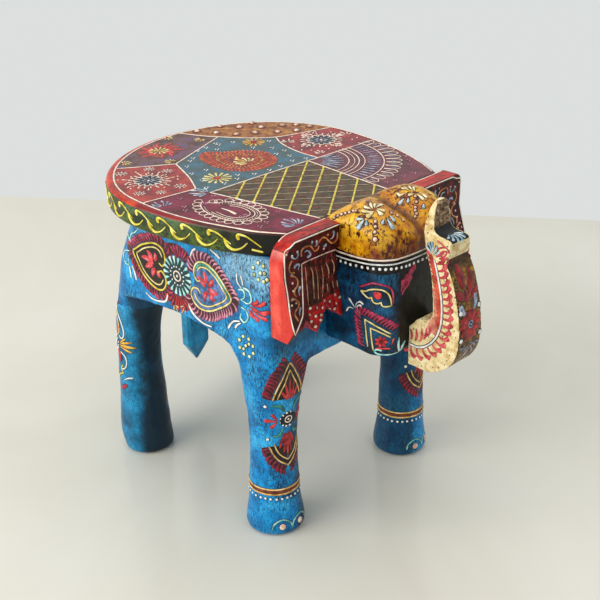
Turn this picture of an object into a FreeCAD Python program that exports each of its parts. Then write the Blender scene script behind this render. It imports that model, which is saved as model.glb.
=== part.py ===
import FreeCAD, Part
import math
import os

# Carved and painted wooden elephant stool, in millimetres, +Z up.
# The elephant faces -Y and its right side is -X. The origin is on the floor, under the middle of
# the stool's length and width. Places are given as side (towards its left, +X), ahead (towards
# its face, counted from the widest line of the seat) and height above the floor.

# Seat board: half an ellipse behind its widest line and a longer quarter ellipse ahead of it on
# each side, a little fuller on the left, cut straight where the head and ears begin
seat_height = 250.0
seat_half_width = 115.0
seat_rear_depth = 104.6
seat_front_depth_right = 161.1
seat_front_depth_left = 174.0
seat_thickness = 18.8
seat_top_round = 3.2
seat_under_round = 2.5
face_line = 119.5

# Body block: rounded sides that spread towards the legs, over one long shallow arch that rises
# from just above the legs' joints. The board stands out over its sides and its rear.
leg_joint_height = 140.0
seat_side_overhang = 18.0
seat_rear_overhang = 22.6
body_half_width = seat_half_width - seat_side_overhang
body_rear_depth = seat_rear_depth - seat_rear_overhang
body_front_corner = 10.0
arch_crown_rise = 21.5
arch_crown_ahead = 27.0
chest_rise = 5.0
rump_rise = 2.0
# Rows of height, half width, rear depth and rear corner radius, as shares of the seat's
# underside height, body_half_width, body_rear_depth and body_half_width
body_form_shares = [
    (0.50, 1.005, 0.985, 0.26),
    (0.60, 0.995, 0.93, 0.285),
    (0.69, 0.99, 0.888, 0.31),
    (0.79, 0.97, 0.885, 0.38),
    (0.89, 0.95, 0.885, 0.54),
    (1.0, 0.93, 0.885, 0.60),
]
# The back of the block is upright above this share of the same height
body_upright_share = 0.65

# Legs: each stands under a short stub of the body block and goes into it with a round tenon.
# Their middles are set in from the body's sides, its face and its rear.
foot_radius = 22.0
foot_round = 5.0
leg_side_inset = 22.4
front_leg_inset = 22.3
rear_leg_inset = 19.7
leg_side = body_half_width - leg_side_inset
front_leg_ahead = face_line - front_leg_inset
rear_leg_behind = body_rear_depth - rear_leg_inset
tenon_radius = 11.0
tenon_length = 36.0
tenon_chamfer = 1.5
tenon_inset = 5.5
# Rows of height, radius and lean inwards and towards the face, as shares of leg_joint_height,
# foot_radius and foot_radius
front_leg_shares = [
    (0.0, 1.0, 0.025),
    (0.10, 0.98, -0.01),
    (0.20, 0.90, 0.005),
    (0.32, 0.855, 0.0),
    (0.44, 0.82, -0.005),
    (0.57, 0.815, 0.005),
    (0.71, 0.86, 0.01),
    (0.80, 0.93, 0.015),
    (0.90, 1.01, 0.025),
    (1.0, 1.10, 0.05),
    (1.08, 1.27, 0.06),
    (1.15, 1.60, 0.06),
]
rear_leg_shares = [
    (0.0, 0.94, 0.09),
    (0.10, 0.965, 0.03),
    (0.21, 0.95, -0.01),
    (0.36, 0.89, -0.05),
    (0.50, 0.845, -0.045),
    (0.64, 0.82, -0.015),
    (0.79, 0.825, 0.02),
    (0.90, 0.86, 0.07),
    (1.0, 0.93, 0.15),
    (1.08, 1.10, 0.23),
    (1.15, 1.36, 0.32),
]

# Head block: flat sides, rounded front corners, and a brow of two domes with a valley between
head_half_width = 40.0
head_length = 54.5
head_corner = 15.0
jaw_height = 157.0
jaw_round = 3.0
dome_rise = 12.0
head_front_depth = face_line + head_length
dome_height = seat_height + dome_rise
# Rows along the head, from the seat to the face: place, top of a dome, floor of the valley and
# top of the side, as shares of the head's length and of the height from jaw to dome top
brow_shares = [
    (0.0, 0.905, 0.900, 0.880),
    (0.16, 0.968, 0.955, 0.890),
    (0.37, 1.0, 0.935, 0.895),
    (0.60, 0.990, 0.905, 0.880),
    (0.80, 0.945, 0.875, 0.850),
    (0.92, 0.885, 0.835, 0.810),
    (1.0, 0.80, 0.775, 0.760),
]
# Points across one dome, from the side to the valley: half-width share, then how far the point
# lies from the side's top to the dome's top, and from the dome's top to the valley
dome_side_shares = [(0.93, 0.42), (0.80, 0.80), (0.64, 0.97), (0.50, 1.0)]
dome_valley_shares = [(0.34, 0.14), (0.18, 0.62)]

# Trunk: one J-shaped plank standing on the front of the head, with a split tip. Its foot hangs
# below the jaw.
trunk_length = 44.2
trunk_height = 127.6
trunk_foot_drop = 12.9
trunk_reach = head_front_depth + trunk_length
trunk_foot_height = jaw_height - trunk_foot_drop
trunk_tip_height = trunk_foot_height + trunk_height
trunk_half_width = 12.5
trunk_tip_half_width = 7.5
# Outlines as shares of the trunk's reach from the face and of its height
trunk_back_shares = [
    (0.0, 0.242), (0.09, 0.270), (0.19, 0.305), (0.33, 0.315), (0.43, 0.338),
    (0.462, 0.400), (0.43, 0.527), (0.375, 0.635), (0.305, 0.704),
]
trunk_finger_shares = [(0.248, 0.752), (0.190, 0.822), (0.198, 0.886), (0.243, 0.945), (0.290, 1.01)]
trunk_notch_shares = [(0.352, 1.01), (0.352, 0.95), (0.354, 0.885), (0.385, 0.836)]
trunk_lip_shares = [(0.385, 0.836), (0.48, 0.819), (0.60, 0.814), (0.725, 0.803)]
trunk_lip_face_shares = [(0.725, 0.803), (0.716, 0.75), (0.683, 0.692)]
trunk_front_shares = [
    (0.683, 0.692), (0.745, 0.653), (0.806, 0.614), (0.862, 0.559), (0.945, 0.447), (0.992, 0.339),
    (0.995, 0.242), (0.948, 0.160), (0.835, 0.093), (0.69, 0.048), (0.474, 0.009), (0.248, 0.0),
]
# Seen from the front the plank narrows from the first height and rounds over from the second
trunk_taper_start_share = 0.68
trunk_tip_round_share = 0.95

# Ears: slabs that stand out from both sides of the head and thicken towards the lower edge.
# They end just inside the body's sides and rise just past the board.
ear_side_inset = 2.0
ear_top_rise = 0.5
ear_height = 73.0
ear_outer = body_half_width - ear_side_inset
ear_top = seat_height + ear_top_rise
ear_bottom = ear_top - ear_height
ear_right_round = 18.0
ear_left_round = 6.0
ear_thickness = 14.0
ear_lower_thickness = 23.0
ear_gap = 0.5
ear_top_band = 18.0
ear_side_band = 16.5
ear_panel_depth = 3.5
ear_tier_depth = 3.0
ear_fold_pitch = 5.2
ear_groove_width = 1.4
ear_groove_depth = 1.3
# The ear's lower edge, as shares of its width from the head and of its height from the bottom
ear_lower_shares = [(1.0, 0.0), (0.775, 0.22), (0.535, 0.018), (0.318, 0.24), (0.0, 0.03)]
# The fronts of its border and folds from the side: distance below the top and added thickness
ear_front_shares = [(0.0, 0.0), (0.34, 0.0), (0.84, 1.0), (1.0, 0.2)]
ear_fold_shares = [(0.0, 0.0), (0.34, 0.0), (0.84, 1.0), (1.0, 1.08)]
ear_tier_width_share = 0.35
ear_tier_height_share = 0.50

# Tail: a bar with cut corners and a pointed end, hanging behind the body from under the board
tail_half_width = 12.0
tail_depth = 13.5
tail_top_drop = 9.2
tail_tip = 45.0
tail_point_length = 19.0
tail_corner = 3.0

# Hidden wooden dowels, set in from the sides, faces and tops of the pieces that they hold
dowel_clearance = 0.15
dowel_end_room = 0.5
seat_dowel_radius = 5.0
seat_dowel_length = 30.0
seat_dowel_rise = 11.0
seat_dowel_side_inset = 37.0
seat_dowel_front_inset = 47.5
seat_dowel_rear_inset = 40.0
head_dowel_radius = 6.0
head_dowel_length = 48.0
# Heights of the head's dowels, as shares of the way from the jaw to the seat's underside
head_dowel_shares = (0.28302, 0.7682)
trunk_dowel_radius = 3.5
trunk_dowel_length = 26.0
trunk_dowel_side = 6.0
trunk_dowel_rise = 9.0
tail_dowel_radius = 4.0
tail_dowel_length = 26.0
tail_dowel_sink = 9.0
tail_dowel_drops = (40.0, 14.0)
ear_dowel_radius = 3.0
ear_dowel_length = 22.0
ear_dowel_sink = 6.5
ear_dowel_drops = (28.2, 9.2)
ear_dowel_side_inset = 26.0

# Cutting bodies run past what they cut by this much
overrun = 10.0

seat_underside = seat_height - seat_thickness
seat_middle_y = (trunk_reach - seat_rear_depth) / 2
chest_height = leg_joint_height + chest_rise
rump_height = leg_joint_height + rump_rise
arch_crown_height = leg_joint_height + arch_crown_rise
tail_top = seat_underside - tail_top_drop
up = FreeCAD.Vector(0, 0, 1)
left = FreeCAD.Vector(1, 0, 0)
forward = FreeCAD.Vector(0, -1, 0)
solids = {}


def at(side, ahead, height):
    """The point at a side, an ahead and a height, in the stool's own frame."""
    return FreeCAD.Vector(side, seat_middle_y - ahead, height)


def lines(points):
    """Straight edges through the points, one after the other."""
    return [Part.makeLine(a, b) for a, b in zip(points, points[1:])]


def curve(points):
    """One smooth edge through the points."""
    spline = Part.BSplineCurve()
    spline.interpolate(points)
    return spline.toShape()


def face_of(edges):
    return Part.Face(Part.Wire(edges))


def polygon(points):
    return face_of(lines(points + points[:1]))


def keep(name, shape):
    """Stores the cleaned shape of one piece under its name."""
    cleaned = shape.removeSplitter()
    solids[name] = cleaned.Solids if len(cleaned.Solids) > 1 else [cleaned.Solids[0]]


def seat_front_half_width(depth):
    """Half the width of an ellipse of one depth where the seat's straight front cuts it."""
    return seat_half_width * math.sqrt(1 - (face_line / depth) ** 2)


def ellipse_arc(depth, start, end):
    """An arc of an ellipse round the seat's middle, run anticlockwise seen from above, whichever of
    the ellipse's axes is the longer."""
    middle = at(0, 0, start.z)
    axes = [at(seat_half_width, 0, start.z), at(0, depth, start.z)]
    axes.sort(key=middle.distanceToPoint, reverse=True)
    ellipse = Part.Ellipse(axes[0], axes[1], middle)
    if ellipse.Axis.z < 0:
        start, end = end, start
    return Part.ArcOfEllipse(ellipse, ellipse.parameter(start), ellipse.parameter(end)).toShape()


def seat_outline(level):
    """The seat's outline: two quarter ellipses ahead, half an ellipse behind and a straight front."""
    widest_left = at(seat_half_width, 0, level)
    widest_right = at(-seat_half_width, 0, level)
    left_end = at(seat_front_half_width(seat_front_depth_left), face_line, level)
    right_end = at(-seat_front_half_width(seat_front_depth_right), face_line, level)
    return [
        ellipse_arc(seat_front_depth_left, left_end, widest_left),
        ellipse_arc(-seat_rear_depth, widest_left, widest_right),
        ellipse_arc(seat_front_depth_right, widest_right, right_end),
        Part.makeLine(right_end, left_end),
    ]


def body_outline(level, half_width, rear, corner):
    """A rounded outline of the body block at one level, with a straight front."""
    front_corner = body_front_corner
    corners = [
        (half_width, face_line, front_corner),
        (half_width, -rear, corner),
        (-half_width, -rear, corner),
        (-half_width, face_line, front_corner),
    ]
    bend = 1 - math.sqrt(0.5)
    arcs = []
    for side, ahead, radius in corners:
        s = math.copysign(1, side)
        a = math.copysign(1, ahead)
        along_side = at(side, ahead - a * radius, level)
        along_end = at(side - s * radius, ahead, level)
        mid = at(side - s * radius * bend, ahead - a * radius * bend, level)
        ends = (along_end, along_side) if s * a > 0 else (along_side, along_end)
        arcs.append((ends[0], mid, ends[1]))
    edges = []
    for (start, mid, end), following in zip(arcs, arcs[1:] + arcs[:1]):
        edges.append(Part.Arc(start, mid, end).toShape())
        edges.append(Part.makeLine(end, following[0]))
    return Part.Wire(edges)


def body_form():
    """The block's rounded form up to the seat, before the arch is cut."""
    outlines = []
    for height, width, rear, corner in body_form_shares:
        outlines.append(body_outline(
            height * seat_underside,
            width * body_half_width,
            rear * body_rear_depth,
            corner * body_half_width,
        ))
    return Part.makeLoft(outlines, True)


def arch_space():
    """The space under the body's arch, across the whole width."""
    side = -body_half_width - overrun
    front = at(side, face_line, chest_height)
    crown = at(side, arch_crown_ahead, arch_crown_height)
    rear = at(side, -body_rear_depth, rump_height)
    corners = [
        rear,
        at(side, -body_rear_depth - overrun, rump_height),
        at(side, -body_rear_depth - overrun, -overrun),
        at(side, face_line + overrun, -overrun),
        at(side, face_line + overrun, chest_height),
        front,
    ]
    outline = face_of([Part.Arc(front, crown, rear).toShape()] + lines(corners))
    return outline.extrude(left * (2 * (body_half_width + overrun)))


def leg_form(side, ahead, shares):
    """A leg with its spreading top, up into the body."""
    rings = []
    for height, radius, lean in shares:
        shift = lean * foot_radius
        middle = at(side - math.copysign(shift, side), ahead + shift, height * leg_joint_height)
        rings.append(Part.Wire(Part.Circle(middle, up, radius * foot_radius).toShape()))
    return Part.makeLoft(rings, True)


def slab(low, high):
    """All the space between two heights."""
    reach = 2 * (trunk_reach + seat_rear_depth)
    return Part.makeBox(reach, reach, high - low, FreeCAD.Vector(-reach / 2, -reach / 2, low))


def dowel(start, direction, radius, length):
    """A dowel from its start, and the hole that takes it."""
    rod = Part.makeCylinder(radius, length, start, direction)
    hole = Part.makeCylinder(
        radius + dowel_clearance,
        length + 2 * dowel_end_room,
        start - direction * dowel_end_room,
        direction,
    )
    return rod, hole


def group(name, pairs):
    """Stores the dowels of one kind as one node and returns their joined holes."""
    solids[name] = [rod.Solids[0] for rod, hole in pairs]
    holes = [hole for rod, hole in pairs]
    return holes[0].multiFuse(holes[1:]) if len(holes) > 1 else holes[0]


def seat_dowels():
    start = seat_underside + seat_dowel_rise - seat_dowel_length
    side = body_half_width - seat_dowel_side_inset
    behind = body_rear_depth - seat_dowel_rear_inset
    return group("seat_dowels", [
        dowel(at(sign * side, ahead, start), up, seat_dowel_radius, seat_dowel_length)
        for sign in (-1, 1)
        for ahead in (-behind, face_line - seat_dowel_front_inset)
    ])


def head_dowels():
    return group("head_dowels", [
        dowel(at(0, face_line - head_dowel_length / 2, jaw_height + share * (seat_underside - jaw_height)),
              forward, head_dowel_radius, head_dowel_length)
        for share in head_dowel_shares
    ])


def trunk_dowels():
    return group("trunk_dowels", [
        dowel(at(side, head_front_depth - trunk_dowel_length / 2, jaw_height + trunk_dowel_rise), forward,
              trunk_dowel_radius, trunk_dowel_length)
        for side in (-trunk_dowel_side, trunk_dowel_side)
    ])


def body_back_depth():
    """How far behind the widest line the body's upright back lies, where the tail is fixed."""
    upper_shares = [rear for height, width, rear, corner in body_form_shares if height > body_upright_share]
    return max(upper_shares) * body_rear_depth


def tail_flat():
    """The room cut from the body's rump for the tail, so that the tail lies flat against it."""
    near = -body_back_depth()
    far = near - tail_depth
    w = tail_half_width
    foot = [at(-w, near, tail_tip), at(w, near, tail_tip), at(w, far, tail_tip), at(-w, far, tail_tip)]
    return polygon(foot).extrude(up * (tail_top - tail_tip))


def tail_dowels():
    back = body_back_depth()
    return group("tail_dowels", [
        dowel(at(0, tail_dowel_length - tail_dowel_sink - back, tail_top - drop), -forward,
              tail_dowel_radius, tail_dowel_length)
        for drop in tail_dowel_drops
    ])


def seat_top(holes):
    board = face_of(seat_outline(seat_underside)).extrude(up * seat_thickness)
    rims = [edge for edge in board.Edges if not isinstance(edge.Curve, Part.Line)]
    upper = [edge for edge in rims if edge.BoundBox.ZMin > seat_underside + seat_thickness / 2]
    board = board.makeFillet(seat_top_round, upper)
    lower = [
        edge for edge in board.Edges
        if not isinstance(edge.Curve, Part.Line) and edge.BoundBox.ZMax < seat_underside + seat_under_round / 2
    ]
    board = board.makeFillet(seat_under_round, lower)
    keep("seat_top", board.cut(holes))


def legs_and_body(holes):
    """The body block with its four leg stubs, and the four legs under them."""
    form = body_form()
    body = form.cut(arch_space())
    form_start = body_form_shares[0][0] * seat_underside
    room_for_legs = form.fuse(slab(0, form_start))
    rows = [
        ("front", front_leg_ahead, front_leg_shares),
        ("rear", -rear_leg_behind, rear_leg_shares),
    ]
    tenon_holes = []
    for row, ahead, shares in rows:
        for name, sign in (("right", -1), ("left", 1)):
            side = sign * leg_side
            whole = leg_form(side, ahead, shares).common(room_for_legs)
            body = body.fuse(whole.common(slab(leg_joint_height, seat_underside)))
            leg = whole.common(slab(0, leg_joint_height))
            feet = [edge for edge in leg.Edges if edge.BoundBox.ZMax < foot_round / 2]
            leg = leg.makeFillet(foot_round, feet)
            lean = [l for height, radius, l in shares if height == 1.0][0] * foot_radius
            inset = lean + tenon_inset
            middle = at(side - math.copysign(inset, side), ahead - math.copysign(tenon_inset, ahead) + lean,
                        leg_joint_height)
            tenon, hole = dowel(middle, up, tenon_radius, tenon_length)
            ends = [edge for edge in tenon.Edges if edge.BoundBox.ZMin > leg_joint_height + tenon_chamfer]
            tenon = tenon.makeChamfer(tenon_chamfer, ends)
            keep("leg_" + row + "_" + name, leg.fuse(tenon))
            tenon_holes.append(hole)
    for hole in tenon_holes + holes + [tail_flat()]:
        body = body.cut(hole)
    keep("body_block", body)


def head_plan(low, high):
    """The head's plan, straight at the seat and rounded at the face, between two heights."""
    w = head_half_width
    r = head_corner
    bend = r * (1 - math.sqrt(0.5))
    f = head_front_depth
    edges = lines([at(-w, f - r, low), at(-w, face_line, low), at(w, face_line, low), at(w, f - r, low)])
    edges.append(Part.Arc(at(w, f - r, low), at(w - bend, f - bend, low), at(w - r, f, low)).toShape())
    edges += lines([at(w - r, f, low), at(r - w, f, low)])
    edges.append(Part.Arc(at(r - w, f, low), at(bend - w, f - bend, low), at(-w, f - r, low)).toShape())
    return face_of(edges).extrude(up * (high - low))


def brow_section(place, dome, valley, side):
    """One upright section across the head, with the two domes on top."""
    rise = dome_height - jaw_height
    length = head_front_depth - face_line
    ahead = face_line + place * length
    side_z = jaw_height + side * rise
    dome_z = jaw_height + dome * rise
    valley_z = jaw_height + valley * rise
    half = [(1.0, side_z)]
    half += [(share, side_z + climb * (dome_z - side_z)) for share, climb in dome_side_shares]
    half += [(share, dome_z + fall * (valley_z - dome_z)) for share, fall in dome_valley_shares]
    whole = half + [(0.0, valley_z)] + [(-share, height) for share, height in reversed(half)]
    points = [at(share * head_half_width, ahead, height) for share, height in whole]
    foot_left = at(-head_half_width, ahead, jaw_height)
    foot_right = at(head_half_width, ahead, jaw_height)
    return Part.Wire([curve(points)] + lines([points[-1], foot_left, foot_right, points[0]]))


def head(holes):
    sections = [brow_section(*row) for row in brow_shares]
    block = Part.makeLoft(sections, True)
    block = block.common(head_plan(jaw_height, dome_height + overrun))
    jaw_edges = [
        edge for edge in block.Edges
        if edge.BoundBox.ZMax < jaw_height + jaw_round / 2
        and edge.BoundBox.YMin < seat_middle_y - face_line - jaw_round
    ]
    block = block.makeFillet(jaw_round, jaw_edges)
    for hole in holes:
        block = block.cut(hole)
    keep("head", block)


def trunk_points(shares, side):
    reach = trunk_reach - head_front_depth
    rise = trunk_tip_height - trunk_foot_height
    return [at(side, head_front_depth + a * reach, trunk_foot_height + h * rise) for a, h in shares]


def trunk(holes):
    side = -trunk_half_width
    back = trunk_points(trunk_back_shares, side)
    finger = trunk_points(trunk_finger_shares, side)
    notch = trunk_points(trunk_notch_shares, side)
    lip = trunk_points(trunk_lip_shares, side)
    lip_face = trunk_points(trunk_lip_face_shares, side)
    front = trunk_points(trunk_front_shares, side)
    foot = at(side, head_front_depth, trunk_foot_height)
    edges = [curve(back)]
    edges.append(curve([back[-1]] + finger))
    edges += lines([finger[-1], notch[0]])
    edges.append(curve(notch))
    edges.append(curve(lip))
    edges.append(curve(lip_face))
    edges.append(curve(front))
    edges += lines([front[-1], foot, back[0]])
    plank = face_of(edges).extrude(left * (2 * trunk_half_width))
    rise = trunk_tip_height - trunk_foot_height
    taper = trunk_foot_height + trunk_taper_start_share * rise
    shoulder = trunk_foot_height + trunk_tip_round_share * rise
    w = trunk_half_width
    t = trunk_tip_half_width
    start = head_front_depth - overrun
    low = trunk_foot_height - overrun
    outline = lines([
        at(-t, start, shoulder), at(-w, start, taper), at(-w, start, low),
        at(w, start, low), at(w, start, taper), at(t, start, shoulder),
    ])
    tip = at(0, start, trunk_tip_height)
    outline.append(Part.Arc(at(t, start, shoulder), tip, at(-t, start, shoulder)).toShape())
    view = face_of(outline)
    plank = plank.common(view.extrude(forward * (trunk_reach - start + overrun)))
    keep("trunk", plank.cut(holes))


def ear_outline(level_ahead, top_round):
    """The right ear's outline seen from the front, in a plane at one distance ahead."""
    inner = head_half_width + ear_gap
    width = ear_outer - inner
    height = ear_top - ear_bottom
    r = top_round
    bend = r * (1 - math.sqrt(0.5))
    lower = [
        at(-inner - share * width, level_ahead, ear_bottom + lift * height)
        for share, lift in ear_lower_shares
    ]
    top_start = at(-ear_outer + r, level_ahead, ear_top)
    side_start = at(-ear_outer, level_ahead, ear_top - r)
    corner = Part.Arc(top_start, at(-ear_outer + bend, level_ahead, ear_top - bend), side_start)
    edges = lines([at(-inner, level_ahead, ear_top), top_start])
    edges.append(corner.toShape())
    edges += lines([side_start] + lower + [at(-inner, level_ahead, ear_top)])
    return face_of(edges)


def ear_side_view(front_shares, depth):
    """The space behind the ear's front, sunk by a depth, seen from the side."""
    side = -ear_outer - overrun
    height = ear_top - ear_bottom
    swell = ear_lower_thickness - ear_thickness
    front = [
        at(side, face_line + ear_thickness + share * swell - depth, ear_top - drop * height)
        for drop, share in front_shares
    ]
    below = front[-1] - up * overrun
    above = front[0] + up * overrun
    back_low = at(side, face_line - overrun, ear_bottom - overrun)
    back_high = at(side, face_line - overrun, ear_top + overrun)
    view = polygon([back_high, above] + front + [below, back_low])
    return view.extrude(left * (ear_outer + overrun))


def ear_panel(width, height):
    """A block that covers the hanging folds, from the head outwards and from the ear's bottom up."""
    start = at(-width, face_line, ear_bottom - overrun)
    depth = ear_lower_thickness + overrun
    return Part.makeBox(width, depth, height + overrun, start + forward * depth)


def ear_grooves(inner, width, height, depth):
    """Narrow upright grooves that part the hanging folds, sunk to one depth."""
    count = int((width - inner) / ear_fold_pitch)
    strips = []
    for index in range(1, count + 1):
        strip = ear_panel(ear_groove_width, height)
        strip.translate(left * -(inner + index * ear_fold_pitch - ear_groove_width / 2))
        strips.append(strip)
    return strips[0].multiFuse(strips[1:]).cut(ear_side_view(ear_fold_shares, depth))


def ear_dowels():
    side = head_half_width + ear_dowel_side_inset
    start = face_line + ear_dowel_sink - ear_dowel_length
    return group("ear_dowels", [
        dowel(at(sign * side, start, seat_underside - drop), forward, ear_dowel_radius, ear_dowel_length)
        for sign in (-1, 1)
        for drop in ear_dowel_drops
    ])


def ear(top_round):
    """A right ear: a border band along the top and outer side round sunken hanging folds."""
    inner = head_half_width + ear_gap
    whole = ear_outline(face_line, top_round).extrude(forward * (ear_lower_thickness + overrun))
    panel_width = ear_outer - ear_side_band
    panel_height = ear_top - ear_top_band - ear_bottom
    tier_width = inner + ear_tier_width_share * (ear_outer - inner)
    tier_height = ear_tier_height_share * (ear_top - ear_bottom)
    panel = ear_panel(panel_width, panel_height)
    border = whole.common(ear_side_view(ear_front_shares, 0)).cut(panel)
    folds = whole.common(panel)
    depth = ear_panel_depth
    for width, height in ((panel_width, panel_height), (tier_width, tier_height)):
        folds = folds.cut(ear_panel(width, height).cut(ear_side_view(ear_fold_shares, depth)))
        folds = folds.cut(ear_grooves(inner, width, height, depth + ear_groove_depth))
        depth += ear_tier_depth
    return border.fuse(folds)


def ears(holes):
    middle = FreeCAD.Vector(0, 0, 0)
    keep("ear_right", ear(ear_right_round).cut(holes))
    keep("ear_left", ear(ear_left_round).mirror(middle, left).cut(holes))


def tail(holes):
    back = body_back_depth()
    w = tail_half_width
    c = tail_corner
    near = -back
    far = -back - tail_depth
    shoulder = tail_tip + tail_point_length
    section = [(c - w, near), (w - c, near), (w, near - c), (w, far + c),
               (w - c, far), (c - w, far), (-w, far + c), (-w, near - c)]
    bar = polygon([at(s, a, shoulder) for s, a in section]).extrude(up * (tail_top - shoulder))
    rim = [at(s, a, shoulder) for s, a in section]
    tip = Part.Vertex(at(0, (near + far) / 2, tail_tip))
    point = Part.makeLoft([tip, Part.Wire(lines(rim + rim[:1]))], True, True)
    keep("tail", bar.fuse(point).cut(holes))


def build():
    seat_holes = seat_dowels()
    neck_holes = head_dowels()
    trunk_holes = trunk_dowels()
    ear_holes = ear_dowels()
    tail_holes = tail_dowels()
    seat_top(seat_holes)
    legs_and_body([seat_holes, neck_holes, ear_holes, tail_holes])
    head([neck_holes, trunk_holes])
    trunk(trunk_holes)
    ears(ear_holes)
    tail(tail_holes)


def write():
    os.makedirs("parts", exist_ok=True)
    for name, pieces in solids.items():
        shape = pieces[0] if len(pieces) == 1 else Part.makeCompound(pieces)
        shape.exportStep("parts/" + name + ".step")
        box = shape.BoundBox
        print(name, len(pieces), "valid", shape.isValid(), "volume", round(shape.Volume),
              [round(v, 1) for v in (box.XMin, box.YMin, box.ZMin, box.XMax, box.YMax, box.ZMax)])


build()
write()
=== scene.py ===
import math
import bmesh
import bpy
from mathutils import Matrix, Vector, noise
from mathutils.bvhtree import BVHTree


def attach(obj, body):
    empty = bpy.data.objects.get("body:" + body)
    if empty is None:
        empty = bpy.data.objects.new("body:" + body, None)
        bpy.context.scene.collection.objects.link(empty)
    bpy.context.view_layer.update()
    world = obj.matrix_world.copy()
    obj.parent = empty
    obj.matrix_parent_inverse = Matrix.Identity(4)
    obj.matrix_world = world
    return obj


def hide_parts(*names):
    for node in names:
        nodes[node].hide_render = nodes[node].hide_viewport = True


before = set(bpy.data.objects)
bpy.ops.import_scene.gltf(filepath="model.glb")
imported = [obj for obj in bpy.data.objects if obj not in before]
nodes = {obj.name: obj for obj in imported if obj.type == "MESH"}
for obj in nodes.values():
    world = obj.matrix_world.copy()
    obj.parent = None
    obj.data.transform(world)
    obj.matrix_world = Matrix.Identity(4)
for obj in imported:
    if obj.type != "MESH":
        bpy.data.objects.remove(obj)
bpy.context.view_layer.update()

# Everything below is worked out in millimetres and turned to metres where a mesh is made
MM = 0.001

# The stool's own sizes, as in its construction
SEAT_TOP = 250.0
SEAT_UNDER = 231.2
SEAT_MIDDLE_Y = 56.8
SEAT_HALF_WIDTH = 115.0
SEAT_REAR = 104.6
SEAT_FRONT_RIGHT = 161.1
SEAT_FRONT_LEFT = 174.0
FACE_LINE = 119.5
FACE_Y = SEAT_MIDDLE_Y - FACE_LINE
LEG_JOINT = 140.0
HEAD_SIDE = 40.0
HEAD_FRONT_Y = -117.2
HEAD_CORNER = 15.0
TRUNK_SIDE = 12.5
EAR_FRONT_Y = -77.5
BODY_SIDE = 95.0
LEG_RADIUS = 19.0
BETWEEN_LEGS_Y = 38.0

# Dirt gathers in specks of this size, and paint rubs off in regions of this size
SPECK = 2.2
RUBBED_REGION = 26.0
# Hand cutting leaves a broad wave, and a finer one of some share of its height
BROAD_WAVE = 17.0
FINE_WAVE = 6.0
FINE_SHARE = 0.45
# Points closer than this, in metres, count as one
TOUCHING = 1e-7
# Rays that look for the skin from above start at this height
RAY_HEIGHT = 400.0
# How many points the seat's outline has round its curve and along its straight front
ROUND_COUNT = 300
FRONT_COUNT = 40
# The rim of raised paint goes this far under the surface; the dark wash round it, its outline and painted
# shadow, is this thick; paint no thicker than thin has no wash, and a ground has no face wider than this
SUNK = -0.25
WASH = 0.14
THIN = 0.2
WIDEST = 8.0


# Colours, written as sRGB hex
def linear(code, alpha=1.0):
    """The linear colour of an sRGB hex code."""
    parts = [int(code[i:i + 2], 16) / 255 for i in (1, 3, 5)]
    return [c / 12.92 if c <= 0.04045 else ((c + 0.055) / 1.055) ** 2.4 for c in parts] + [alpha]


def add(tree, kind, feeds=None, stops=None, **settings):
    """Adds a node, with its settings, its colour stops and what feeds each of its inputs: a value, a
    socket, or the first output of a node."""
    made = tree.nodes.new(kind)
    for key, value in settings.items():
        setattr(made, key, value)
    for place, value in (feeds or {}).items():
        if isinstance(value, bpy.types.Node):
            value = value.outputs[0]
        if isinstance(value, bpy.types.NodeSocket):
            tree.links.new(value, made.inputs[place])
        else:
            made.inputs[place].default_value = value
    if stops:
        ramp = made.color_ramp.elements
        while len(ramp) < len(stops):
            ramp.new(1.0)
        for element, (place, colour) in zip(ramp, stops):
            element.position = place
            element.color = colour
    return made


def grey(value):
    return (value, value, value, 1.0)


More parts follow.
